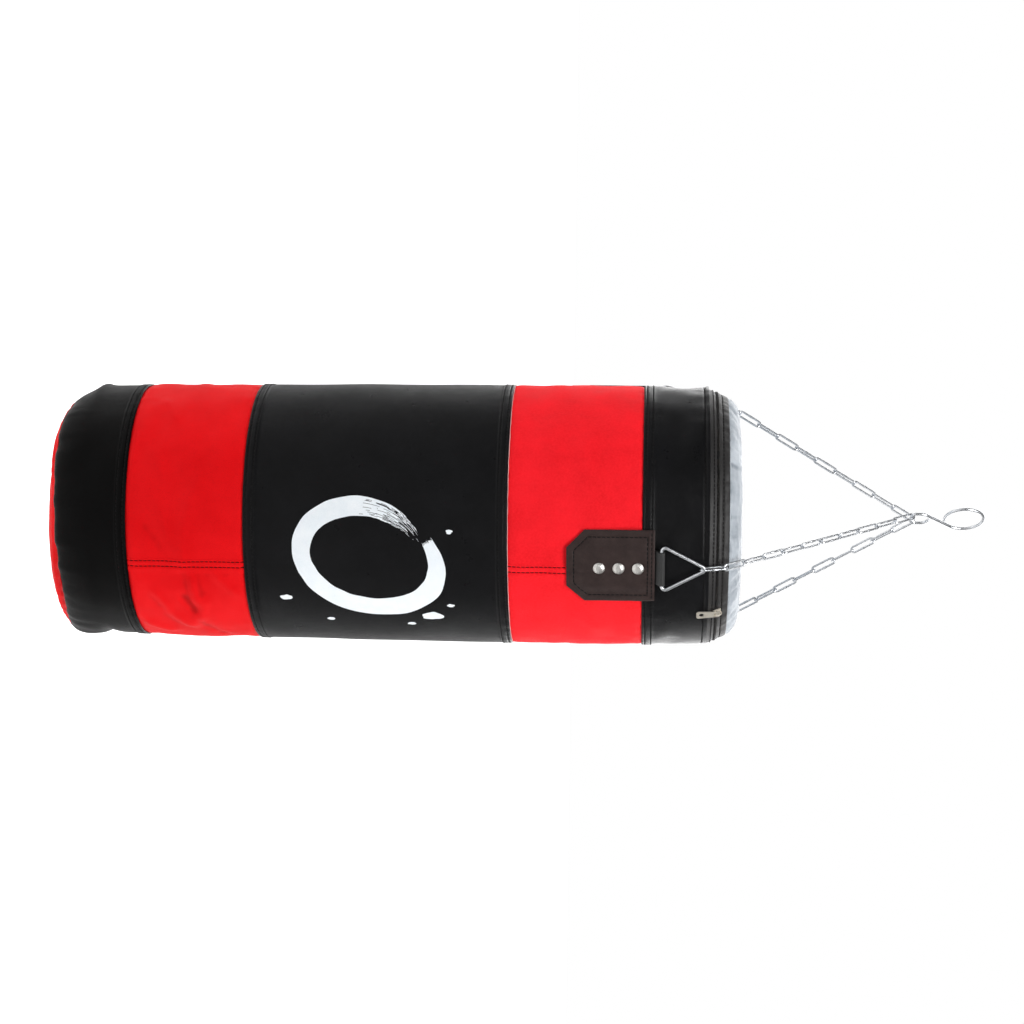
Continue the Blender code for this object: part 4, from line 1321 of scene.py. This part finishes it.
def add_ring(name, angle):
    half = RING_BASE / 2
    lean = math.atan(half / (RING_APEX - RING_BAR))
    sharp = RING_APEX_ROUND / math.sin(lean) - RING_APEX_ROUND
    corners = [(-half - RING_REACH, RING_BAR), (0.0, RING_APEX + sharp),
               (half + RING_REACH, RING_BAR)]
    outline = round_corners(corners, (RING_BAR_ROUND, RING_APEX_ROUND, RING_BAR_ROUND), 10)
    dense = []
    for a, b in zip(outline, outline[1:] + outline[:1]):
        parts = max(1, round((b - a).length / 0.004))
        dense += [a.lerp(b, k / parts) for k in range(parts)]
    out, along = wall_ways(angle)
    plane = float(wall_radius(RING_BAR)) + RING_STAND_OFF
    points = [along * p.x + out * plane + np.array((0, 0, p.y)) for p in dense]
    weld = [RING_WIRE + 0.00035 * math.exp(-(p.x / 0.0015) ** 2) * (p.y < RING_BAR + 0.001)
            for p in dense]
    vertices, faces = wire_mesh(points, weld, 20, True)
    add_piece(f"wire_ring_{name}", vertices, faces, ZINC,
              stands_for=[f"triangle_ring_{name}"])


for strap_name, strap_angle in STRAPS:
    add_ring(strap_name, strap_angle)


# ==================================================================== lining and filling
# A loose sack of plain cloth lines the skin, and packed textile scraps fill it to the lid.
# Neither shows from outside: the scraps are a lumpy mass, and the sack rests on them.
LINING_TOP = -0.3200
LINING_INSET = 0.0045
FILLING_INSET = 0.0068
FILLING_TOP = -0.2858
INNER_COLUMNS = 160
LINING_CLOTH = woven_cloth("lining_cloth", tone(186, 180, 168), tone(206, 202, 192), 1400.0,
                           0.8, 0.00015, sheen_weight=0.2)


def scrap_material():
    """Shreds of many faded cloths, pressed into a felted mass."""
    made, tree, shader, place = new_material("textile_scraps", sheen_weight=0.3)
    shreds = add_node(tree, "ShaderNodeTexVoronoi", scale=55.0, randomness=1.0)
    tree.links.new(place, shreds.inputs["Vector"])
    tints = add_node(tree, "ShaderNodeValToRGB")
    stops = tints.color_ramp
    stops.interpolation = "CONSTANT"
    stops.elements[0].color = tone(120, 118, 116)
    stops.elements[1].position = 0.75
    stops.elements[1].color = tone(164, 150, 138)
    for at, colour in ((0.25, tone(96, 106, 122)), (0.5, tone(176, 172, 164))):
        stops.elements.new(at).color = colour
    bright = add_node(tree, "ShaderNodeSeparateColor")
    tree.links.new(shreds.outputs["Color"], bright.inputs[0])
    tree.links.new(bright.outputs[0], tints.inputs[0])
    felt = place_group(tree, MOTTLE, place, patches=900.0, contrast=2.0)
    dusty = scaled(tree, felt.outputs["Mask"], 0.0, 0.4)
    tree.links.new(mixed(tree, tints.outputs[0], tone(140, 136, 130), dusty),
                   shader.inputs["Base Color"])
    tree.links.new(scaled(tree, felt.outputs["Mask"], 0.82, 0.95), shader.inputs["Roughness"])
    join_bump(tree, shader, felt.outputs["Mask"], 0.7, 0.0008)
    return made


SCRAPS = scrap_material()


def inner_profile(inset, lift, top_rows):
    """The inside of the skin as a profile: given top rows, the wall, the corner and the base."""
    rows = list(top_rows)
    last = rows[-1][1]
    rows += [(wall_radius(z) - inset, z) for z in np.arange(last - 0.006, CORNER_START, -0.006)]
    wide = CORNER_RADIUS - BASE_SEAM_RADIUS
    for k in range(9):
        bend = math.pi / 2 * k / 8
        rows.append((BASE_SEAM_RADIUS - inset + wide * math.cos(bend) - 0.0075 * math.sin(bend),
                     CORNER_START + lift - (CORNER_START - BASE_SEAM) * math.sin(bend)))
    reach, floor = rows[-1]
    sag = BASE_SEAM - BASE_BOTTOM - 0.003
    for k in range(1, 16):
        radius = reach * (1 - k / 16) + 0.003
        rows.append((radius, floor - sag * (1 - (radius / reach) ** 2.4)))
    return rows


def inner_slump(turn, height, radius):
    """Carries the bottom corner's slack and dents through to what lies inside the skin."""
    sunk = np.minimum(corner_slump(turn), 0.0) + np.minimum(rim_line(turn), 0.0) - 0.0008
    low = ramp(-height, -CORNER_START - 0.010, -BASE_SEAM + 0.008)
    under = ramp(radius / BASE_SEAM_RADIUS, 0.45, 0.85)
    dent = spot(turn, height, 90, BASE_DENT_HEIGHT, 0.32, 0.012)
    return sunk * low * np.where(height < BASE_SEAM, under, 1.0) - 0.0036 * dent


def add_lining():
    profile = inner_profile(LINING_INSET, 0.0030, [(wall_radius(LINING_TOP) - LINING_INSET,
                                                    LINING_TOP)])

    def loose(turn, height, radius):
        wrinkled = 0.0004 * ripple(turn, height, 0.020, 0.060, 71.0) - 0.0008
        return wrinkled + inner_slump(turn, height, radius)

    vertices, faces, _ = turned_grid(profile, loose, INNER_COLUMNS)
    vertices, faces = close_pole(vertices, faces, INNER_COLUMNS, False)
    sack = add_piece("lining_sack", vertices, faces, LINING_CLOTH,
                     stands_for=["lining"])
    give_thickness(sack, 0.0006)


def add_filling():
    crown = [(0.004, FILLING_TOP), (0.060, FILLING_TOP), (0.100, FILLING_TOP - 0.0008),
             (0.118, FILLING_TOP - 0.0030), (0.128, FILLING_TOP - 0.0100),
             (float(wall_radius(-0.2990)) - 0.0085, -0.3010),
             (float(wall_radius(ZIP_SEAM)) - FILLING_INSET, ZIP_SEAM)]
    profile = inner_profile(FILLING_INSET, 0.0058, crown)

    def lumps(turn, height, radius):
        coarse = ripple(turn, height, 0.030, 0.030, 72.0)
        lumpy = 0.0007 * coarse * ramp(radius, 0.02, 0.06) - 0.0009
        return lumpy + inner_slump(turn, height, radius)

    vertices, faces, _ = turned_grid(profile, lumps, INNER_COLUMNS)
    vertices, faces = close_pole(vertices, faces, INNER_COLUMNS, True)
    vertices = list(vertices)
    start = len(vertices) - 1 - INNER_COLUMNS
    ring = np.array(vertices[start:start + INNER_COLUMNS])
    tip = len(vertices)
    vertices.append(np.array((0.0, 0.0, ring[:, 2].mean())))
    for i in range(INNER_COLUMNS):
        faces.append((tip, start + (i + 1) % INNER_COLUMNS, start + i))
    mass = add_piece("packed_scraps", vertices, faces, SCRAPS,
                     stands_for=["filling"])


add_lining()
add_filling()


# ==================================================================== zip
# A black nylon coil zip runs round the top. The lower tape is sewn under the top band's edge;
# the upper tape is a wider puckered strip that joins it to the lid. Both are woven.
COIL_HEIGHT = -0.3083
COIL_RADIUS = 0.0011
COIL_PITCH = 0.0016
ZIP_TAPE = woven_cloth("zip_tape_cloth", tone(10, 9, 9), tone(24, 21, 21), 1100.0, 0.5,
                       0.00020, sheen_weight=0.15)
STRIP_FOLD = 0.0011
LOWER_TAPE_ROW = -0.3128
UPPER_TAPE_ROW = -0.3022


def lower_tape_relief(turn, height, radius):
    wave = 0.0005 * ripple(turn, height, 0.014, 0.010, 81.0)
    return wave - 0.0006 + 0.0004 * np.exp(-((height - LOWER_TAPE_ROW) / 0.0010) ** 2)


def upper_tape_relief(turn, height, radius):
    pucker = ripple(turn, height, 0.0085, 0.016, 82.0)
    broad = ripple(turn, height, 0.030, 0.020, 83.0)
    near_lid = ramp(height, -0.3060, LID_SEAM)
    crease = -0.0010 * np.exp(-((height - UPPER_TAPE_ROW) / 0.0010) ** 2)
    crease = crease - 0.0009 * np.exp(-np.maximum(0.0, LID_SEAM + 0.0008 - height) / 0.0007)
    return STRIP_FOLD * pucker * (0.35 + 0.65 * near_lid) + 0.0012 * broad * near_lid + crease


def add_tape(name, high, low, relief, node):
    rows = [(wall_radius(z), z) for z in np.linspace(high, low, 18)]
    vertices, faces, depth = turned_grid(rows, relief, COLUMNS)
    tape = add_piece(name, vertices, faces, ZIP_TAPE, stands_for=[node])
    mark_hollow_shade(tape, depth)
    give_thickness(tape, 0.0009)


def add_coil():
    """A flattened helix of monofilament wound along the zip's line."""
    reach = float(wall_radius(COIL_HEIGHT)) - 0.0004
    loops = round(2 * math.pi * reach / COIL_PITCH)
    steps = loops * 8
    points = []
    for k in range(steps):
        turn = 2 * math.pi * k / steps
        wind = 2 * math.pi * k / 8
        radius = reach + 0.6 * COIL_RADIUS * math.cos(wind)
        up = COIL_HEIGHT + 1.35 * COIL_RADIUS * math.sin(wind)
        points.append((radius * math.sin(turn), -radius * math.cos(turn), up))
    vertices, faces = wire_mesh(points, 0.00034, 5, True)
    add_piece("zip_coil_winding", vertices, faces, COIL_NYLON,
              stands_for=["zip_coil"])


def nylon_material():
    made, tree, shader, place = new_material("coil_nylon", specular_ior_level=0.45)
    dust = place_group(tree, MOTTLE, place, patches=120.0, contrast=2.0)
    colour = mixed(tree, tone(15, 14, 14), tone(38, 35, 34), dust.outputs["Mask"])
    tree.links.new(colour, shader.inputs["Base Color"])
    tree.links.new(scaled(tree, dust.outputs["Mask"], 0.35, 0.5), shader.inputs["Roughness"])
    return made


COIL_NYLON = nylon_material()
add_tape("lower_zip_tape", COIL_HEIGHT - 0.0012, ZIP_SEAM - 0.0020, lower_tape_relief,
         "zip_tape_lower")
add_tape("upper_zip_tape", LID_SEAM + 0.0008, COIL_HEIGHT + 0.0012, upper_tape_relief,
         "zip_tape_upper")
add_coil()
tape_rows = ring_row(lower_tape_relief, LOWER_TAPE_ROW, 0.1)
tape_rows += ring_row(upper_tape_relief, UPPER_TAPE_ROW, 0.6)
add_stitches("stitches_zip_tapes", tape_rows, BLACK_THREAD)


# ==================================================================== zip slider and pull
# A nickel-plated slider rides on the coil, and its flat cast pull hangs from the crown.
# Both are the solids of the frame, with their cast edges rounded.
WARM_NICKEL = plated_metal("warm_nickel_plate", tone(214, 206, 194), tone(242, 236, 224), 0.56,
                           800.0)
for cast_name, cast_edge in (("zip_slider", 0.00025), ("zip_pull", 0.00030)):
    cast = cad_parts[cast_name]
    cast.data.materials.clear()
    cast.data.materials.append(WARM_NICKEL)
    weld = cast.modifiers.new("weld", "WELD")
    weld.merge_threshold = 0.00002
    rounded = cast.modifiers.new("cast_edge", "BEVEL")
    rounded.width = cast_edge
    rounded.segments = 3
    rounded.angle_limit = math.radians(35)
    cast.modifiers.new("even_shading", "WEIGHTED_NORMAL")


# ==================================================================== lid
# The lid is a round of soft grey-blue coated cloth, drawn over the filling. Its turned edge is
# sewn to the puckered strip, which gathers it into short radial folds.
LID_TOP = -0.2792
LID_COLUMNS = 420


def lid_cloth():
    made, tree, shader, place = new_material("lid_cloth", specular_ior_level=0.35)
    cloud = place_group(tree, MOTTLE, place, patches=24.0, contrast=2.4)
    fine = place_group(tree, MOTTLE, place, patches=140.0, contrast=2.0)
    grain = place_group(tree, LEATHER_GRAIN, place, pebbles=1300.0)
    base = mixed(tree, tone(124, 133, 143), tone(184, 191, 198), cloud.outputs["Mask"])
    worn = scaled(tree, fine.outputs["Mask"], 0.0, 0.4)
    cloth = mixed(tree, base, tone(198, 202, 206), worn)
    # Painted shade: the grey-blue darkens in the mesh's hollows, between the gathers.
    sunk = painted_shade_share(tree, 0.8)
    tree.links.new(mixed(tree, cloth, tone(84, 94, 106), sunk), shader.inputs["Base Color"])
    tree.links.new(scaled(tree, cloud.outputs["Mask"], 0.38, 0.52), shader.inputs["Roughness"])
    join_bump(tree, shader, grain.outputs["Height"], 0.35, 0.00010)
    return made


LID_CLOTH = lid_cloth()


def lid_relief(turn, height, radius):
    near_edge = ramp(radius, 0.100, 0.134)
    gathers = ripple(turn, radius, 0.0090, 0.030, 91.0)
    broad = ripple(turn, radius, 0.032, 0.030, 92.0)
    middle = ripple(turn, radius * 2.0, 0.060, 0.060, 93.0) * ramp(radius, 0.0, 0.05)
    free = (0.0015 * gathers + 0.0026 * broad) * near_edge + 0.0010 * middle
    joined = 1.0 - ramp(height, LID_SEAM + 0.0010, LID_SEAM + 0.0042)
    sewn = upper_tape_relief(turn, LID_SEAM + 0.0 * height, radius) - 0.0013
    return free * (1.0 - joined) + sewn * joined


def add_lid():
    corners = [(0.0, LID_TOP - 0.0006), (0.095, LID_TOP - 0.0008), (0.116, LID_TOP - 0.0022),
               (0.127, LID_TOP - 0.0060), (0.1345, LID_TOP - 0.0112),
               (0.1384, LID_SEAM + 0.0012), (0.1388, LID_SEAM - 0.0006)]
    along = np.cumsum([0.0] + [math.dist(a, b) for a, b in zip(corners, corners[1:])])
    stops = np.concatenate([np.linspace(0.004, 0.10, 50), np.linspace(0.1015, along[-1], 44)])
    radii = np.interp(stops, along, [c[0] for c in corners])
    heights = np.interp(stops, along, [c[1] for c in corners])
    profile = list(zip(radii, heights))
    vertices, faces, depth = turned_grid(profile, lid_relief, LID_COLUMNS)
    vertices, faces = close_pole(vertices, faces, LID_COLUMNS, True)
    lid = add_piece("lid_cover", vertices, faces, LID_CLOTH,
                    stands_for=["lid"])
    mark_hollow_shade(lid, depth)
    give_thickness(lid, 0.0011)


add_lid()


# ==================================================================== chains
# Each leg is eleven welded links of zinc-plated wire, every second one turned a quarter.
# A link keeps its solid's place, and its butt weld is a small bead on one straight side.
LINK_WIRE = 0.00125
LINK_BEAD = 0.00032


def link_axes(node):
    """A link's middle, its long and wide ways and its size along each way, from its solid."""
    points = np.array([v.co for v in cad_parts[node].data.vertices])
    low, high = points.min(0), points.max(0)
    middle = (low + high) / 2
    for _ in range(3):
        ways = np.linalg.eigh(np.cov((points - middle).T))[1]
        local = (points - middle) @ ways
        middle = middle + ways @ ((local.max(0) + local.min(0)) / 2)
    reach = np.ptp((points - middle) @ ways, axis=0)
    return middle, ways[:, 2], ways[:, 1], reach


def add_link(leg, number):
    node = f"chain_{leg}_link_{number:02d}"
    middle, long_way, wide, reach = link_axes(node)
    bend = reach[1] / 2 - LINK_WIRE
    half = reach[2] / 2 - LINK_WIRE - bend
    points, thick = [], []
    for end in (1, -1):
        for k in range(17):
            sweep = -math.pi / 2 + math.pi * k / 16
            points.append((-end * bend * math.sin(sweep), end * (half + bend * math.cos(sweep))))
            thick.append(LINK_WIRE)
        for k in range(1, 12):
            share = k / 12
            points.append((-end * bend, end * half * (1 - 2 * share)))
            bead = LINK_BEAD * math.exp(-((share - 0.5) / 0.07) ** 2) if end == 1 else 0.0
            thick.append(LINK_WIRE + bead)
    placed = [middle + wide * x + long_way * z for x, z in points]
    vertices, faces = wire_mesh(placed, thick, 14, True)
    add_piece(f"welded_{leg}_{number:02d}", vertices, faces, ZINC,
              stands_for=[node])


for strap_name, _ in STRAPS:
    for link_number in range(1, 12):
        add_link(strap_name, link_number)


# ==================================================================== S-hook
# One piece of zinc-plated wire bent into a large eye, which hangs from the ceiling fitting,
# and a small eye with a flattened bottom that holds the three last links side by side.
HOOK_WIRE = 0.0018
HOOK_TURN = math.radians(60.0)
LARGE_EYE = 0.0223
SMALL_EYE = 0.0102
SMALL_EYE_HEIGHT = -0.0710
SMALL_EYE_FLAT = 0.0046
LARGE_TIP = math.radians(-8.0)
SMALL_TIP = math.radians(16.0)


def arc(centre, radius, start, end, steps):
    """Points on a circle, as (across, up), by the angle from the top towards +across."""
    bends = [start + (end - start) * i / steps for i in range(steps + 1)]
    return [(centre[0] + radius * math.sin(b), centre[1] + radius * math.cos(b)) for b in bends]


def hook_line():
    """The wire's middle line in the hook's own plane, from the small eye's tip."""
    large = (0.0, HOOK_WIRE - LARGE_EYE)
    small = (0.0, SMALL_EYE_HEIGHT)
    leave = math.acos((LARGE_EYE + SMALL_EYE) / (large[1] - small[1]))
    bend = SMALL_EYE - SMALL_EYE_FLAT
    low = SMALL_EYE_HEIGHT - SMALL_EYE + bend
    quarter = math.pi / 2
    route = arc(small, SMALL_EYE, SMALL_TIP, quarter, 14)
    route += arc((SMALL_EYE_FLAT, low), bend, quarter, 2 * quarter, 12)[1:]
    route += arc((-SMALL_EYE_FLAT, low), bend, 2 * quarter, 3 * quarter, 12)
    route += arc(small, SMALL_EYE, 3 * quarter, 4 * quarter - leave, 10)[1:]
    route += arc(large, LARGE_EYE, 2 * quarter - leave, LARGE_TIP - 2 * quarter, 72)
    spaced = []
    for (x0, z0), (x1, z1) in zip(route, route[1:]):
        parts = max(1, round(math.hypot(x1 - x0, z1 - z0) / 0.0015))
        spaced += [(x0 + (x1 - x0) * k / parts, z0 + (z1 - z0) * k / parts)
                   for k in range(parts)]
    return spaced + [route[-1]]


def add_hook():
    across = np.array((math.cos(HOOK_TURN), math.sin(HOOK_TURN), 0.0))
    points = [across * u + np.array((0, 0, z)) for u, z in hook_line()]
    vertices, faces = wire_mesh(points, HOOK_WIRE, 24, False)
    add_piece("hook_wire", vertices, faces, ZINC, body="hook",
              stands_for=["s_hook"])


add_hook()


# ==================================================================== studio
# A white floor, seen from above only, and a white surround. Two tall soft lights stand at the
# bag's sides, one hangs high in front and one lies low, so the leather's face stays dark.
FLOOR_HEIGHT = -1.50
FLOOR_REACH = 30.0
DIM_FRONT = (0.38, 0.20)
BRIGHT_BACK = (0.95, 4.0)


def add_floor():
    made, tree, shader, place = new_material("white_floor", specular_ior_level=0.0)
    soft = place_group(tree, MOTTLE, place, patches=1.5, contrast=0.4)
    colour = mixed(tree, (0.93, 0.93, 0.93, 1.0), (0.96, 0.96, 0.96, 1.0), soft.outputs["Mask"])
    tree.links.new(colour, shader.inputs["Base Color"])
    shader.inputs["Roughness"].default_value = 0.9
    shader.inputs["Emission Color"].default_value = (1.0, 1.0, 1.0, 1.0)
    seen = tree.nodes.new("ShaderNodeLightPath")
    tree.links.new(seen.outputs["Is Camera Ray"], shader.inputs["Emission Strength"])
    one_sided = tree.nodes.new("ShaderNodeMixShader")
    tree.links.new(tree.nodes.new("ShaderNodeNewGeometry").outputs["Backfacing"],
                   one_sided.inputs[0])
    tree.links.new(shader.outputs[0], one_sided.inputs[1])
    tree.links.new(tree.nodes.new("ShaderNodeBsdfTransparent").outputs[0], one_sided.inputs[2])
    tree.links.new(one_sided.outputs[0], tree.nodes["Material Output"].inputs["Surface"])
    mesh = bpy.data.meshes.new("floor")
    reach = FLOOR_REACH
    corners = [(-reach, -reach), (reach, -reach), (reach, reach), (-reach, reach)]
    mesh.from_pydata([(x, y, FLOOR_HEIGHT) for x, y in corners], [], [(0, 1, 2, 3)])
    mesh.materials.append(made)
    floor = bpy.data.objects.new("floor", mesh)
    bpy.context.scene.collection.objects.link(floor)


def add_soft_light(name, azimuth, elevation, distance, size, power, aim, mirrored=True):
    """A rectangular soft light: its place by compass angle and height about the bag. One that
    isn't mirrored lights the bag but leaves no reflection of itself."""
    data = bpy.data.lights.new(name, "AREA")
    data.shape = "RECTANGLE"
    data.size, data.size_y = size
    data.energy = power
    light = bpy.data.objects.new(name, data)
    a, e = math.radians(azimuth), math.radians(elevation)
    out = Vector((math.sin(a) * math.cos(e), -math.cos(a) * math.cos(e), math.sin(e)))
    light.location = Vector(aim) + out * distance
    light.rotation_euler = (-out).to_track_quat("-Z", "Y").to_euler()
    light.visible_glossy = mirrored
    bpy.context.scene.collection.objects.link(light)


def add_surround():
    """White to the eye; as a light it is bright behind the bag and dim in front of it."""
    world = bpy.data.worlds.new("surround")
    world.use_nodes = True
    tree = world.node_tree
    shown = tree.nodes["Background"]
    shown.inputs["Color"].default_value = (1.0, 1.0, 1.0, 1.0)
    lit = tree.nodes.new("ShaderNodeBackground")
    way = add_node(tree, "ShaderNodeSeparateXYZ")
    tree.links.new(tree.nodes.new("ShaderNodeTexCoord").outputs["Generated"], way.inputs[0])
    spread = add_node(tree, "ShaderNodeMapRange", interpolation_type="SMOOTHSTEP")
    spread.inputs["From Min"].default_value, spread.inputs["To Min"].default_value = DIM_FRONT
    spread.inputs["From Max"].default_value, spread.inputs["To Max"].default_value = BRIGHT_BACK
    tree.links.new(way.outputs["Y"], spread.inputs["Value"])
    tree.links.new(spread.outputs["Result"], lit.inputs["Strength"])
    choose = tree.nodes.new("ShaderNodeMixShader")
    seen = tree.nodes.new("ShaderNodeLightPath")
    tree.links.new(seen.outputs["Is Camera Ray"], choose.inputs[0])
    tree.links.new(lit.outputs[0], choose.inputs[1])
    tree.links.new(shown.outputs[0], choose.inputs[2])
    tree.links.new(choose.outputs[0], tree.nodes["World Output"].inputs["Surface"])
    bpy.context.scene.world = world


add_floor()
add_surround()
BAG_MIDDLE = (0.0, 0.0, -0.60)
add_soft_light("left_softbox", -100, 8, 2.2, (1.3, 2.4), 26, BAG_MIDDLE, False)
add_soft_light("right_softbox", 100, 8, 2.2, (1.3, 2.4), 26, BAG_MIDDLE, False)
add_soft_light("high_softbox", 14, 48, 2.4, (1.8, 1.0), 50, BAG_MIDDLE)
add_soft_light("low_softbox", 5, -50, 2.2, (1.4, 0.8), 14, BAG_MIDDLE)
bpy.context.scene.view_settings.view_transform = "Standard"
bpy.context.scene.view_settings.look = "None"
